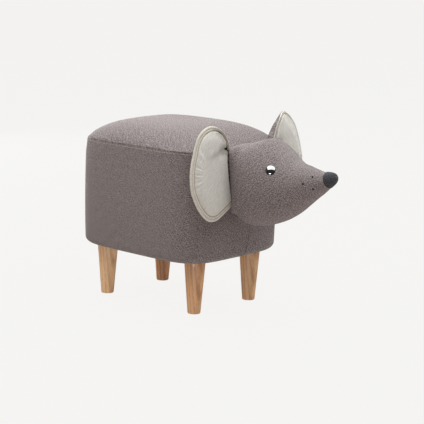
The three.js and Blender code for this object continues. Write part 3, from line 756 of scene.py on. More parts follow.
bpy.ops.mesh.primitive_circle_add(vertices=WALL_POINTS, radius=1)
seat_wall = start("seat_wall")
first_inset, first_z = wall_profile[0]
shape(seat_wall, lambda place: Vector((*on_outline(place.x, place.y, 1, first_inset), first_z)))
edit(seat_wall, *pull_along(wall_profile), select_rim,
     bridge_rims, face_outwards)
shape(seat_wall, lean_in)

# distance round the seat, from the middle of the tail end, for the map of yarns
turns = np.linspace(-math.pi, math.pi, 721)
rim = np.array([on_outline(math.cos(t), math.sin(t)) for t in turns])
walked = run_along(rim)


def turn_of(place):
    return math.atan2(place.y, place.x - SEAT_X)


def round_the_wall(place, middle):
    turn, near = turn_of(place), turn_of(middle)
    round_again = 0.0
    if near > math.pi / 2 and turn < -math.pi / 2:
        round_again = walked[-1]
    elif near < -math.pi / 2 and turn > math.pi / 2:
        round_again = -walked[-1]
    return float(np.interp(turn, turns, walked)) + round_again, place.z


lay_yarns(seat_wall, round_the_wall)
smooth(seat_wall, 50)
finish_piece(seat_wall, "upholstery", "root", "cover_side_band", "side_foam")
print("round the seat:", round(float(walked[-1]), 3), "m")

# %% Stitching under the seam
STITCHES_BELOW = 3.0 * MM
stitch_z = SEAM - STITCHES_BELOW
seam_path = np.array([lean_in(Vector((
    *on_outline(math.cos(t), math.sin(t), 1, -bulge(stitch_z) - 0.1 * MM), stitch_z)))
    for t in turns])
seam_out = np.gradient(seam_path, axis=0)[:, [1, 0, 2]] * (1, -1, 0)
seam_stitches = sew_row("seam_stitches", seam_path, seam_out, pitch=4.3 * MM,
                        length=2.6 * MM, width=0.8 * MM)
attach(seam_stitches, "root")

# %% Lapped seam on the front
# across the body and up it, in millimetres, from the lower edge to inside the neck
LAP_LINE = np.array([(0, 109), (4, 111.5), (10, 116), (14.5, 127), (17.7, 139), (19, 156),
                     (21, 170), (22.5, 185), (23.5, 198)]) * MM
LAP_RADIUS, LAP_SUNK = 1.3 * MM, 0.5 * MM


def front_of_wall(z):
    """Where the front of the wall is at a height, round the lower edge too."""
    below = min(max(edge_z - z, 0), LOWER_EDGE)
    rounded = LOWER_EDGE - math.sqrt(LOWER_EDGE ** 2 - below ** 2)
    return SEAT_X + HALF_LENGTH + bulge(z) - rounded


def roll_lap(place):
    """Rolls a flat grid into a thin rod that lies half sunk along the line."""
    at = (place.x + 1) / 2 * (len(LAP_LINE) - 1)
    y, z = [float(np.interp(at, range(len(LAP_LINE)), column)) for column in LAP_LINE.T]
    turn = math.pi * place.y
    return Vector((front_of_wall(z) - LAP_SUNK + LAP_RADIUS * math.cos(turn),
                   y + LAP_RADIUS * math.sin(turn), z))


bpy.ops.mesh.primitive_grid_add(x_subdivisions=64, y_subdivisions=10, size=2)
front_lap = start("front_lap")
shape(front_lap, roll_lap)
edit(front_lap, merge_close, close_holes, face_outwards)
lay_yarns(front_lap, lambda place, middle: (place.y, place.z))
smooth(front_lap, 50)
finish_piece(front_lap, "upholstery", "root")

# %% [markdown]
# ## Head
# The head is a stuffed cone of the same cloth, fullest at the cheeks and drawn to the nose.
# Its sections were read off the photograph as shares of its length, height and width. A
# grid is rolled into a tube through those sections, closed, and then trimmed where it is
# sewn to the seat.

# %% Sections of the head
HEAD_LENGTH, HEAD_HEIGHT, HEAD_WIDTH = 232.7 * MM, 174 * MM, 154 * MM
HEAD_LOW = SEAM - 147 * MM
HEAD_X = SEAT_X + HALF_LENGTH
# along, top, bottom, width, squareness of the section
section_shares = np.array([
    (-0.12, 0.88, 0.1, 0.5, 1.95), (0, 0.9, 0.04, 0.6, 1.95), (0.06, 0.912, 0.03, 0.74, 2.2),
    (0.125, 0.935, 0.03, 0.9, 2.6), (0.21, 0.975, 0.004, 0.995, 2.4),
    (0.295, 1, 0.015, 1, 2.1), (0.39, 0.938, 0.054, 0.927, 2.1), (0.49, 0.854, 0.112, 0.804, 2),
    (0.59, 0.785, 0.194, 0.658, 2), (0.68, 0.761, 0.29, 0.535, 2),
    (0.77, 0.735, 0.388, 0.41, 2), (0.845, 0.718, 0.466, 0.305, 2),
    (0.905, 0.723, 0.535, 0.222, 2), (0.948, 0.718, 0.585, 0.155, 2),
    (0.967, 0.7, 0.615, 0.105, 2), (0.977, 0.672, 0.645, 0.04, 2)])
along_shares = section_shares[:, 0]
FIRST_ALONG, TIP_ALONG = float(along_shares[0]), float(along_shares[-1])
last_row = len(along_shares) - 1


def slopes_at(rows):
    """How fast each share changes at a section, from its two neighbours."""
    before, after = section_shares[max(rows - 1, 0)], section_shares[min(rows + 1, last_row)]
    return (after - before) / (after[0] - before[0])


def section(along):
    """Middle height, half height, half width and power of the section at a share of length."""
    i = int(np.clip(np.searchsorted(along_shares, along, side="right") - 1, 0, last_row - 1))
    here, there = section_shares[i], section_shares[i + 1]
    step = there[0] - here[0]
    t = (along - here[0]) / step
    rise = there - here
    bend = (slopes_at(i) * step - rise) * (1 - t) - (slopes_at(i + 1) * step - rise) * t
    _, top, bottom, width, square = here + rise * t + bend * t * (1 - t)
    return (HEAD_LOW + HEAD_HEIGHT * (top + bottom) / 2, HEAD_HEIGHT * (top - bottom) / 2,
            HEAD_WIDTH / 2 * width, 2 / square)


def section_at(place):
    """The section of the head beside a place."""
    along = (place.x - HEAD_X) / HEAD_LENGTH
    return section(min(max(along, FIRST_ALONG), TIP_ALONG))


def signed_power(value, power):
    return math.copysign(abs(value) ** power, value)


def on_head(along, turn, proud=0.0):
    """A point of the head: turn 0 is the animal's left side and a quarter turn its top."""
    middle, half_height, half_width, power = section(along)
    return Vector((HEAD_X + HEAD_LENGTH * along,
                   (half_width + proud) * signed_power(math.cos(turn), power),
                   middle + (half_height + proud) * signed_power(math.sin(turn), power)))


# %% Where the ears are sewn to the head
EAR_SPLAY = 58 * MM
EAR_ROOT = Vector((HEAD_X + 19.6 * MM, 0, HEAD_LOW + 42.8 * MM))
EAR_LEAN = math.radians(5.25)
ear_up = Vector((-math.sin(EAR_LEAN), 0, math.cos(EAR_LEAN)))
ear_forward = Vector((math.cos(EAR_LEAN), 0, math.sin(EAR_LEAN)))
ROOT_LENGTH, ROOT_RADIUS = 104 * MM, 2.8 * MM


def on_ear(side, out, up, forward):
    """A place on an ear: how far out from its root, up along it, and forward."""
    return (EAR_ROOT + Vector((0, side * (EAR_SPLAY + out), 0))
            + ear_up * up + ear_forward * forward)


def beside_ear(place):
    """The side of the head that a place is on, and where it is up and forward of the ear."""
    side = 1 if place.y > 0 else -1
    gone = place - on_ear(side, 0, 0, 0)
    return side, gone.dot(ear_up), gone.dot(ear_forward)


# the root of an ear, out from the head and up, in millimetres
ROOT_LINE = [(0.5, -1.5), (4.1, 24), (7, 50), (8.7, 76), (9.5, 101)]
SEWN_PROUD, SEWN_POWER = 1.4 * MM, 2 / 5.4


def drawn_to_ears(place, turn):
    """Where the ears are sewn in, their straight edges hold the head wide and square."""
    side, up, forward = beside_ear(place)
    near = (1 - ease(abs(forward - 3 * MM), 5 * MM, 24 * MM)) * ease(up, -24 * MM, 8 * MM)
    root_out, root_up = zip(*ROOT_LINE)
    sewn = EAR_SPLAY + SEWN_PROUD + float(np.interp(up / MM, root_up, root_out)) * MM
    middle, half_height, half_width, _ = section_at(place)
    squarer = Vector((place.x,
                      max(half_width, sewn) * signed_power(math.cos(turn), SEWN_POWER),
                      middle + half_height * signed_power(math.sin(turn), SEWN_POWER)))
    return place.lerp(squarer, float(near))


# %% Tucked edges of the head
EAR_TUCK, EAR_REACH, NECK_TUCK, NECK_REACH = 1.6 * MM, 3.5 * MM, 0.7 * MM, 1.6 * MM
SLOT_FRONT, SLOT_BACK = 4.0 * MM, -7.4 * MM


def tucked(place):
    """Beside a seam the cloth of the head dips, at the ears and where it meets the seat."""
    side, up, forward = beside_ear(place)
    from_ear = max(forward - SLOT_FRONT, SLOT_BACK - forward, 0)
    at_ear = (1 - ease(from_ear, 0, EAR_REACH)) * ease(up, -6 * MM, 2 * MM)
    from_seat = max(place.x - HEAD_X - bulge(place.z), 0)
    at_seat = (1 - ease(from_seat, 0, NECK_REACH)) * (1 - ease(place.z, SEAM - 16 * MM, SEAM))
    middle = section_at(place)[0]
    inwards = (Vector((place.x, 0, middle)) - place).normalized()
    return (place - Vector((0, side * EAR_TUCK * float(at_ear), 0))
            + inwards * NECK_TUCK * float(at_seat) * float(1 - at_ear))


# %% Rolled and trimmed head
ROWS_ALONG, POINTS_ROUND = 160, 128


def along_of(u):
    """Rows lie closer together beside the seat and at the nose."""
    return float(np.interp((u + 1) / 2, [0, 0.05, 0.33, 0.8, 1],
                           [FIRST_ALONG, -0.03, 0.12, 0.85, TIP_ALONG]))


def rolled_head(name, proud=0.0):
    """A closed skin through the sections, standing proud of them by a distance."""
    bpy.ops.mesh.primitive_grid_add(x_subdivisions=ROWS_ALONG,
                                    y_subdivisions=POINTS_ROUND, size=2)
    piece = start(name)

    def roll(place):
        along = along_of(place.x)
        at_tip = max(0.0, (along - 0.9) / (TIP_ALONG - 0.9))
        rolled = on_head(along, math.pi * place.y, proud)
        rolled.x += proud * at_tip
        return tucked(drawn_to_ears(rolled, math.pi * place.y))

    shape(piece, roll)
    edit(piece, merge_close, close_holes, face_outwards)
    return piece


NOSE_SEAM = Vector((HEAD_X + HEAD_LENGTH * 0.902, 0, HEAD_LOW + HEAD_HEIGHT * 0.642))
NOSE_TILT = math.radians(17)
nose_way = Vector((math.cos(NOSE_TILT), 0, math.sin(NOSE_TILT)))


def trim(ahead, shift):
    """Cuts a piece at the seam of the nose and closes the cut. It keeps one side."""
    return lambda: bpy.ops.mesh.bisect(
        plane_co=NOSE_SEAM + nose_way * shift, plane_no=nose_way,
        use_fill=True, clear_inner=ahead, clear_outer=not ahead)


def seat_block(gap):
    """The room that the seat takes, as one solid, for trimming the head."""
    bpy.ops.mesh.primitive_circle_add(vertices=WALL_POINTS, radius=1)
    piece = start("seat_block")
    low_z = UNDERSIDE - gap
    shape(piece, lambda place: Vector((*on_outline(place.x, place.y, 1, -gap), low_z)))
    profile = [(-gap, low_z)]
    for step in range(9):
        z = UNDERSIDE + (SEAM - UNDERSIDE) * step / 8
        profile.append((-bulge(z) - gap, z + gap))
    edit(piece, *pull_along(profile))
    shares = (1, 0.985, 0.96, 0.93, 0.9, 0.85, 0.8, 0.7, 0.6, 0.4)
    steps = [pull(crown(after) - crown(before), after / before, after / before, (SEAT_X, 0, 0))
             for before, after in zip(shares, shares[1:])]

    def select_top():
        bpy.ops.mesh.select_all(action="DESELECT")
        bpy.ops.object.mode_set(mode="OBJECT")
        top = max(point.co.z for point in piece.data.vertices)
        for edge in piece.data.edges:
            edge.select = all(piece.data.vertices[i].co.z > top - gap / 2 for i in edge.vertices)
        bpy.ops.object.mode_set(mode="EDIT")
        bpy.ops.mesh.select_mode(type="EDGE")

    edit(piece, select_top, *steps, close_holes, face_outwards)
    return piece


def cut_away(piece, cutter):
    """Takes the room of a cutter out of a piece, and throws the cutter away."""
    only(piece)
    cut = piece.modifiers.new("cut", "BOOLEAN")
    cut.operation, cut.solver, cut.object = "DIFFERENCE", "EXACT", cutter
    bpy.ops.object.modifier_apply(modifier="cut")
    bpy.data.objects.remove(cutter)


# the head reaches this far into the nose cap, and stays this clear of the seat
UNDER_NOSE, SEAT_GAP = 2.5 * MM, 0.9 * MM
# an offset that keeps the two cheeks apart on the map of yarns, in metres
CHEEK_APART = 0.4

head = rolled_head("head")


def along_the_head(place, middle):
    """The cloth runs from the nose to the seat, with its middle on the cheek."""
    centre, half_height, half_width, _ = section_at(place)
    side = 1 if middle.y > 0 else -1
    turn = math.atan2((place.z - centre) / half_height, abs(place.y) / half_width)
    return place.x, side * (CHEEK_APART + turn * (half_height + half_width) / 2)


lay_yarns(head, along_the_head)
edit(head, trim(False, UNDER_NOSE), face_outwards)
cut_away(head, seat_block(SEAT_GAP))

# %% Grooves for the ear roots
def root_rod(name, side):
    """A rod along the root of an ear."""
    middle = on_ear(side, -1.5 * MM, ROOT_LENGTH / 2, -3.2 * MM)
    bpy.ops.mesh.primitive_cylinder_add(
        vertices=24, radius=ROOT_RADIUS, depth=ROOT_LENGTH, location=middle,
        rotation=(0, -EAR_LEAN, 0))
    rod = start(name)
    bpy.ops.object.transform_apply(location=True, rotation=True, scale=True)
    return rod


def root_slot(side):
    """The room for the edge of an ear where it goes into the head."""
    bpy.ops.mesh.primitive_cube_add(size=2)
    slot = start("root_slot")
    shape(slot, lambda place: on_ear(side, (4 + 10.5 * place.x + 3 * place.z) * MM,
                                     (49 + 51.5 * place.z) * MM, (-1.7 + 5.7 * place.y) * MM))
    edit(slot, face_outwards)
    return slot


for side in (-1, 1):
    cut_away(head, root_slot(side))
smooth(head, 45)
finish_piece(head, "upholstery", "root", "head_cover", "head_stuffing")

# %% Felt nose
FELT_THICKNESS = 0.9 * MM
nose = rolled_head("nose", proud=FELT_THICKNESS)
lay_yarns(nose, along_the_head)
edit(nose, trim(True, 0.0), face_outwards)
smooth(nose, 50)
finish_piece(nose, "nose_felt", "root", "nose_cap")

# %% [markdown]
# ## Eyes and whisker knots
# The eyes are glossy black domes on a stem, held by a washer inside the head. Three small
# knots of black thread on each cheek mark the whiskers. Both are made once, lying flat, and
# then set on the head with their backs against the cloth.

# %% Places on the head
def head_spot(along, degrees, side, lift):
    """A frame on the skin of the head, with its Z pointing out of it."""
    turn = math.radians(degrees)
    if side < 0:
        turn = math.pi - turn
    nearby = 0.001
    point = on_head(along, turn)
    out = (on_head(along + nearby, turn) - point).cross(on_head(along, turn + nearby) - point)
    out.normalize()
    if out.y * point.y < 0:
        out.negate()
    turned = Vector((0, 0, 1)).rotation_difference(out).to_matrix().to_4x4()
    return Matrix.Translation(point + out * lift) @ turned


# %% Glossy eyes
EYE_RADIUS, EYE_DOME, EYE_SKIRT = 10.3 * MM, 4.9 * MM, 0.8 * MM
EYE_ALONG, EYE_DEGREES = 0.4705, 35.2
# how deep each eye is drawn into the head, the left one tighter
EYE_SUNK = {-1: 1.4 * MM, 1: 2.6 * MM}
for side, label in SIDES:
    bpy.ops.mesh.primitive_uv_sphere_add(segments=48, ring_count=32, radius=EYE_RADIUS)
    eye = start("eye_dome_" + label)
    edit(eye, lambda: bpy.ops.mesh.bisect(
        plane_co=(0, 0, 0), plane_no=(0, 0, 1), use_fill=False, clear_inner=True))
    shape(eye, lambda place: Vector((place.x, place.y, place.z * EYE_DOME / EYE_RADIUS)))
    edit(eye, select_rim, pull(-EYE_SKIRT, 0.97, 0.97), close_holes, face_outwards)
    eye.data.transform(head_spot(EYE_ALONG, EYE_DEGREES, side, -EYE_SUNK[side]))
    smooth(eye, 50)
    finish_piece(eye, "eye_gloss", "root", "eye_" + label)

# %% Whisker knots
KNOT_RADIUS, KNOT_HEIGHT, KNOT_LIFT = 1.8 * MM, 1.6 * MM, 0.3 * MM
KNOT_SPOTS = {"upper": (0.806, 38.7), "middle": (0.748, 11.3), "lower": (0.824, -18.1)}


def wind_knot(place):
    """Gives a ball the ridges of a thread that is wound round it."""
    turn = math.atan2(place.y, place.x)
    wound = 1 + 0.1 * math.sin(turn + 9 * place.z)
    return Vector((place.x * wound * KNOT_RADIUS, place.y * wound * KNOT_RADIUS,
                   place.z * KNOT_HEIGHT))


for side, label in SIDES:
    for height, (along, degrees) in KNOT_SPOTS.items():
        bpy.ops.mesh.primitive_uv_sphere_add(segments=24, ring_count=16, radius=1)
        knot = start("french_knot_%s_%s" % (height, label))
        shape(knot, wind_knot)
        knot.data.transform(head_spot(along, degrees, side, KNOT_LIFT))
        smooth(knot, 60)
        finish_piece(knot, "black_thread", "root", "whisker_knot_%s_%s" % (height, label))

# %% [markdown]
# ## Ears
# Each ear is a flat pad: pale lining in front, the seat's grey-brown cloth behind, and a
# thin filling between them. The two cloths are sewn together at the edge and turned, and
# two rows of stitching run round the rim. The straight edge is sewn to the head. The
# outlines differ a little from ear to ear, as they do on any hand-stuffed piece.

# %% Outlines of the ears
# out from the root and up along it, in millimetres, from the foot of the root to its top
EAR_OUTLINES = {
    -1: [(0.5, -1.5), (20.5, -12.3), (38, -21), (50, -24.8), (64.5, -24.6), (76, -20.5),
         (87, -11.8), (100, 3.4), (109, 19), (115.5, 34), (118, 48), (118.5, 60), (117.5, 73),
         (114.5, 86), (110, 100), (104.5, 115), (99, 128), (93, 138), (84, 147.5), (69.5, 156),
         (52, 159.8), (39, 156), (29, 149.5), (20.5, 141), (14, 131.5), (10.5, 123), (9, 115),
         (9.5, 101)],
    1: [(0.5, -1.5), (20.5, -12.3), (38, -21), (50, -24.8), (64.5, -24.6), (76, -20.5),
        (87, -11.8), (100, 3.4), (109, 19), (115, 34), (117, 48), (117, 60), (116, 75),
        (113, 96), (107, 117), (99, 137), (94, 145), (87, 153), (79, 160.5), (67, 168),
        (58, 170), (50, 167), (43, 161.5), (36, 154), (30, 146.5), (25, 139), (19.5, 127.5),
        (14.5, 117), (9.5, 101)]}
EAR_MIDDLE = np.array([62.0, 63.0])
CURVED_POINTS, ROOT_POINTS = 288, 96
# distances from the edge at which the rim is shaped, in millimetres
RIM_STEPS = [0, 0.4, 1, 2, 3.2, 4.3, 4.9, 5.5, 6.6, 7.8, 9.0, 9.8, 10.4, 11, 12.2, 13.8,
             15.5, 17.5, 19, 20.5, 22]
INNER_RINGS = 14
RINGS, STEPS_ROUND = len(RIM_STEPS) + INNER_RINGS - 1, CURVED_POINTS + ROOT_POINTS


def smooth_curve(points, count):
    """Evenly spaced points on a smooth open curve through the given ones."""
    points = np.array(points, float)
    ends = np.vstack([2 * points[0] - points[1], points, 2 * points[-1] - points[-2]])
    dense = []
    for before, here, there, after in zip(ends, ends[1:], ends[2:], ends[3:]):
        t = np.linspace(0, 1, 40, endpoint=False)[:, None]
        dense.append(0.5 * (2 * here + (there - before) * t
                            + (2 * before - 5 * here + 4 * there - after) * t ** 2
                            + (3 * here - before - 3 * there + after) * t ** 3))
    return spaced(np.vstack(dense + [points[-1:]]), count)


def spaced(points, count):
    """The same line with evenly spaced points, the last one left off."""
    run = run_along(points)
    wanted = np.linspace(0, run[-1], count + 1)[:count]
    return np.stack([np.interp(wanted, run, column) for column in points.T], axis=1)


def edge_distance(points, outline):
    """How far points are from a closed outline."""
    start, end = outline, np.roll(outline, -1, axis=0)
    along = end - start
    flat = np.asarray(points, float).reshape(-1, 1, 2)
    share = ((flat - start) * along).sum(2) / (along ** 2).sum(1)
    foot = start + along * np.clip(share, 0, 1)[..., None]
    return np.linalg.norm(flat - foot, axis=2).min(1).reshape(np.shape(points)[:-1])


def ear_rings(side):
    """Points of an ear from its edge to its middle, ring by ring, and their edge distance."""
    curved = smooth_curve(EAR_OUTLINES[side], CURVED_POINTS)
    outline = np.vstack([curved, smooth_curve(ROOT_LINE[::-1], ROOT_POINTS)])
    shares = np.linspace(0, 1, 61)
    rays = outline[None] + (EAR_MIDDLE - outline)[None] * shares[:, None, None]
    distances = edge_distance(rays, outline)
    rings = np.zeros((RINGS + 1, STEPS_ROUND, 2))
    for step in range(STEPS_ROUND):
        rising = np.maximum.accumulate(distances[:, step])
        at = [float(np.interp(d, rising, shares)) for d in RIM_STEPS]
        at += list(np.linspace(at[-1], 1, INNER_RINGS + 1)[1:])
        for ring, share in enumerate(at[:RINGS + 1]):
            rings[ring, step] = outline[step] + (EAR_MIDDLE - outline[step]) * share
    return rings, edge_distance(rings, outline)


# %% [markdown]
# The relief of an ear is a height at each of those points. The rim is two thin rolls with
# the stitching sunk between and inside them, and narrower where the edge is drawn tight.
# It runs round the free edge only, and the straight edge at the root is plainly rounded.
# Inside the rim the panel swells. The inner edge above the root curls forward, the lining
# is pinched in where that curl begins, and short puckers run in from the stitching round
# the outer edge.

# %% Relief of the ears
RIM_DEPTHS = RIM_STEPS[:16]
RIM_HEIGHTS = [0.1, 1.1, 1.8, 2.4, 2.5, 2.0, 1.3, 2.0, 2.6, 2.7, 2.5, 1.9, 0.9, 2.2, 3.5, 4.2]
ROOT_EDGE = [0, 0.4, 0.9, 1.6, 2.8, 6, 9], [0.1, 1.4, 2.5, 3.3, 3.8, 4.1, 4.2]
LEFT_RIM_TIGHT, CURL_TIGHT = 2.1, 0.6


def near_line(points, line):
    """How far points are from an open line, and how far along it the nearest place is."""
    line = np.array(line, float)
    best = np.full(points.shape[:-1], np.inf)
    where = np.zeros(points.shape[:-1])
    for number, (start, end) in enumerate(zip(line, line[1:])):
        along = end - start
        share = np.clip(((points - start) @ along) / (along @ along), 0, 1)
        distance = np.linalg.norm(points - (start + share[..., None] * along), axis=-1)
        closer = distance < best
        best = np.where(closer, distance, best)
        where = np.where(closer, number + share, where)
    return best, where


CURL_LINES = {-1: [(9, 101), (10, 123), (20, 141), (39, 156), (57, 160)],
              1: [(9, 101), (17, 123), (30, 146), (46, 164), (60, 170)]}
CURL_HEIGHT = {-1: 6.0, 1: 3.0}
LEFT_EAR_TURNED_BACK = 0.055
PANEL_SWELL, SWELL_START = {-1: 3.6, 1: 6.0}, {-1: 9.5, 1: 5}


def bend_of_ear(side, points):
    """How far the whole ear bends forward at each point."""
    distance, where = near_line(points, CURL_LINES[side])
    strength = ease(where, -0.2, 0.45) * (1 - ease(where, 2.4, 4.0))
    curled = CURL_HEIGHT[side] * strength * (1 - ease(distance, 0, 17))
    return curled - (LEFT_EAR_TURNED_BACK * points[..., 0] if side > 0 else 0)


PINCH = [(8.5, 103), (13, 108), (17.5, 113)]


def at_curl(side, points):
    """1 where the inner edge above the root curls forward, and 0 away from it."""
    where = near_line(points, CURL_LINES[side])[1]
    return ease(where, 0.0, 0.5) * (1 - ease(where, 2.2, 4.0))


def curved_edge(side, points):
    """How far points are from the curved edge, in millimetres."""
    return near_line(points, smooth_curve(EAR_OUTLINES[side], 96))[0]


def free_edge(side, points):
    """The same as the rim measures it, which is more where the rim is drawn tight."""
    tight = LEFT_RIM_TIGHT if side > 0 else 1 + CURL_TIGHT * at_curl(side, points)
    distance = curved_edge(side, points) * tight
    # the rim ends at the pinch, and below that the panel runs straight to the root
    gone = points - PINCH[0]
    below = (gone[..., 0] > gone[..., 1]) & (np.linalg.norm(gone, axis=-1) < 30)
    return np.where(below, np.maximum(distance, RIM_DEPTHS[-1]), distance)


# the folds that run from the pinch into the lining, and how deep each is, in millimetres
DIMPLE, VALLEY = [(17, 110), (30, 108)], [(30, 108), (50, 96), (78, 84)]
PINCH_DEPTH, DIMPLE_DEPTH, VALLEY_DEPTH, PUCKER_DEPTH = 5.5, 6.0, 2.6, 0.85
CURL_STEP, CURL_GROOVE = 3.5, 2.5


def hollow(distance, width):
    """1 on a line, fading to 0 over a width."""
    return np.exp(-(distance / width) ** 2)


def front_relief(side, points, distance):
    """How far the lining stands forward of the middle of the ear, in millimetres."""
    from_free, from_root = free_edge(side, points), near_line(points, ROOT_LINE)[0]
    height = np.minimum(np.interp(from_free, RIM_DEPTHS, RIM_HEIGHTS),
                        np.interp(from_root, *ROOT_EDGE))
    height = height + (PANEL_SWELL[side]
                       * ease(curved_edge(side, points), SWELL_START[side], 26)
                       * ease(from_root, 0, 36))
    height = height + at_curl(side, points) * (
        CURL_STEP * ease(from_free, 10.8, 13) - CURL_GROOVE * hollow(from_free - 10.2, 1.5))
    pinch, _ = near_line(points, PINCH)
    dimple, _ = near_line(points, DIMPLE)
    valley, along = near_line(points, VALLEY)
    height = height - PINCH_DEPTH * hollow(pinch, 1.6) * ease(distance, -1.0, 4.0)
    height = height - DIMPLE_DEPTH * hollow(dimple, 9) * ease(distance, 2.0, 12.0)
    height = height - (VALLEY_DEPTH * (1 - along / 2) * hollow(valley, 13)
                       * ease(distance, 6, 20))
    height = height + parting(side, points) * (1 - ease(distance, 0, 3))
    way = points - EAR_MIDDLE
    turn = np.arctan2(way[..., 1], way[..., 0])
    outer = ease(way[..., 0], -30, 20)
    ruffle = np.sin(turn * 31 + 2.2 * np.sin(turn * 3 + side)) * 0.6 + np.sin(turn * 19 + 1) * 0.5
    fading = ease(distance, 11, 14) * (1 - ease(distance, 15, 34))
    height = height + PUCKER_DEPTH * ruffle * fading * outer
    return height + bend_of_ear(side, points)


def parting(side, points):
    """Along the inner edge the grey side wall comes forward to meet the lining."""
    distance, where = near_line(points, CURL_LINES[side])
    return 2.2 * ease(where, 0, 0.3) * (1 - ease(where, 2.2, 3.4)) * (1 - ease(distance, 1, 4))


BACK_SWELL = 5.2
# depth of the grey side wall along the inner edge above the root, in millimetres
INNER_WALL = [9, 14, 16, 9.5, 4.5, 2]


def back_relief(side, points, distance):
    """How far the back cloth stands behind the middle of the ear, as a height below 0."""
    height = np.interp(distance, [0, 0.35, 0.8, 1.6, 3.0], [0.1, 0.9, 1.4, 1.9, 2.2])
    height = height + BACK_SWELL * ease(distance, 2.0, 24)
    from_line, where = near_line(points, CURL_LINES[side])
    depth = np.interp(where, [0, 0.4, 1, 2, 3, 4], INNER_WALL)
    wall = depth * ease(distance, 0, 2.4) * (1 - ease(from_line, 12, 48))
    edge_forward = parting(side, points) * (1 - ease(distance, 0, 0.9))
    return -np.maximum(height, wall) + edge_forward + bend_of_ear(side, points)


# %% Ear panels
def rolled_rings(name, side, points, heights):
    """A sheet of rings, from the edge of an ear to its middle."""
    bpy.ops.mesh.primitive_grid_add(x_subdivisions=RINGS, y_subdivisions=STEPS_ROUND, size=2)
    piece = start(name)

    def place_it(place):
        ring = round((place.x + 1) / 2 * RINGS)
        step = round((place.y + 1) / 2 * STEPS_ROUND) % STEPS_ROUND
        out, up = points[ring, step]
        return on_ear(side, out * MM, up * MM, heights[ring, step] * MM)

    shape(piece, place_it)
    return piece


def ear_yarns(side):
    """The yarns of an ear lie square to its root."""
    def rule(place, middle):
        gone = place - on_ear(side, 0, 0, 0)
        return side * gone.y, gone.dot(ear_up)
    return rule


# painted shade in the crease at the pinch and round it, and on the roll inside the curl
SOFT_CREASE, ROLL_SHADE, ROLL_CREASE = 0.36, 0.3, 0.6
# this much is added to the edge distance where the left ear shows no rim
RIM_HIDDEN = 12


def mark_edge(piece, side):
    """A second map: the distance from the edge, and the painted shade of the pinch and curl."""
    layer = piece.data.uv_layers.new(name="from_edge")
    places = np.array([(side * (p.co.y - side * EAR_SPLAY) / MM,
                        (p.co - on_ear(side, 0, 0, 0)).dot(ear_up) / MM)
                       for p in piece.data.vertices])
    distance = free_edge(side, places)
    from_pinch = near_line(places, PINCH)[0]
    # painted shade: dark in the pinched crease, fading round it; on the right ear also on the
    # curl's roll and groove
    crease = hollow(from_pinch, 1.4) + SOFT_CREASE * hollow(from_pinch, 7.5)
    if side < 0:
        curl_painted_shade = (ROLL_SHADE * ease(distance, 1, 3) * (1 - ease(distance, 10.4, 11.4))
                   + ROLL_CREASE * hollow(distance - 9.2, 1.6))
        crease += at_curl(side, places) * curl_painted_shade
    else:
        distance = distance + RIM_HIDDEN * ease(places[:, 0] - EAR_MIDDLE[0], 5, 35)
    for loop in piece.data.loops:
        layer.data[loop.index].uv = (distance[loop.vertex_index] * MM, crease[loop.vertex_index])


def groove_path(side, points, front, groove):
    """The line that lies at a groove's measure from the free edge, just proud of the relief."""
    path = []
    for step in range(CURVED_POINTS + 1):
        measure = free_edge(side, points[:, step])
        if measure[0] < groove:
            ring = np.interp(groove, np.maximum.accumulate(measure), range(len(measure)))
            out, up, lift = [np.interp(ring, range(len(measure)), values) for values in
                             (points[:, step, 0], points[:, step, 1], front[:, step])]
            path.append(on_ear(side, out * MM, up * MM, (lift + 0.3) * MM))
    return np.array(path)


# in millimetres: the thickness of the back cloth, and how far the filling stays in front
# of it and behind the lining
BACK_CLOTH, PADDING_GAP, LEAST_PADDING = 1.1, 1.3, 0.2

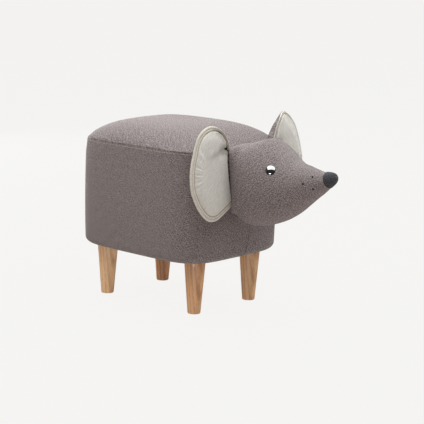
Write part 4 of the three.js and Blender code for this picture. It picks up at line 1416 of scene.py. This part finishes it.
for side, label in SIDES:
    points, distance = ear_rings(side)
    front = front_relief(side, points, distance)
    back = back_relief(side, points, distance)

    pad_front = rolled_rings("ear_pad_" + label, side, points, front)
    lining_back = np.minimum(back + PADDING_GAP * ease(distance, 0, 1.5),
                             front - LEAST_PADDING)
    pad_behind = rolled_rings("ear_pad_behind", side, points, lining_back)
    pad_behind.select_set(True)
    pad_front.select_set(True)
    bpy.context.view_layer.objects.active = pad_front
    bpy.ops.object.join()
    ear_pad = bpy.context.object
    edit(ear_pad, merge_close, select_rim, bridge_rims, face_outwards)
    lay_yarns(ear_pad, ear_yarns(side))
    mark_edge(ear_pad, side)
    smooth(ear_pad, 60)
    finish_piece(ear_pad, "ear_lining", "ear_" + label,
                 "ear_" + label + "_front_panel", "ear_" + label + "_padding")

    ear_back = rolled_rings("ear_back_" + label, side, points, back)
    edit(ear_back, merge_close, face_outwards)
    wall = ear_back.modifiers.new("cloth", "SOLIDIFY")
    wall.thickness, wall.offset = BACK_CLOTH * MM, 0.0
    only(ear_back)
    bpy.ops.object.modifier_apply(modifier="cloth")
    lay_yarns(ear_back, ear_yarns(side))
    smooth(ear_back, 60)
    finish_piece(ear_back, "upholstery", "ear_" + label, "ear_" + label + "_back_panel")

    for count, groove in ((1, FIRST_GROOVE / MM), (2, SECOND_GROOVE / MM)):
        path = groove_path(side, points, front, groove)
        outwards = np.tile(np.array(ear_forward), (len(path), 1))
        ear_stitches = sew_row("ear_stitches_%s_%d" % (label, count), path, outwards,
                               pitch=3.5 * MM, length=2.7 * MM, width=0.9 * MM)
        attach(ear_stitches, "ear_" + label)

    ear_root = root_rod("ear_root_" + label, side)
    lay_yarns(ear_root, ear_yarns(side))
    smooth(ear_root, 50)
    finish_piece(ear_root, "upholstery", "ear_" + label)

# %% [markdown]
# ## Legs
# The four legs are turned from oak: a plain taper with a softened foot and a flat top that
# meets the base. One is made from a disc, extruded and scaled up the height of the leg.

# %% Turned legs
# radius and height, from the foot to the bore for the hanger bolt
FOOT_RADIUS = 10.8
leg_profile = [(FOOT_RADIUS, 0), (12.2, 0.25), (12.8, 1.0), (13.0, 2.2), (14.66, 22.9),
               (16.32, 43.6), (17.98, 64.3), (19.64, 85.1), (21.3, 105.8), (21.1, 106.35),
               (20.5, 106.6), (4.3, 106.6), (4.3, 72.4)]


def pull_disc(before, after):
    wider = after[0] / before[0]
    return pull((after[1] - before[1]) * MM, wider, wider)


for corner in ("front_right", "front_left", "rear_right", "rear_left"):
    low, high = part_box("leg_" + corner)
    bpy.ops.mesh.primitive_circle_add(vertices=72, radius=FOOT_RADIUS * MM)
    leg = start("turned_leg_" + corner)
    edit(leg, *[pull_disc(a, b) for a, b in zip(leg_profile, leg_profile[1:])],
         close_holes, face_outwards)
    leg.data.transform(Matrix.Translation(((low.x + high.x) / 2, (low.y + high.y) / 2, 0)))
    smooth(leg, 50)
    finish_piece(leg, "leg_wood", "root", "leg_" + corner)
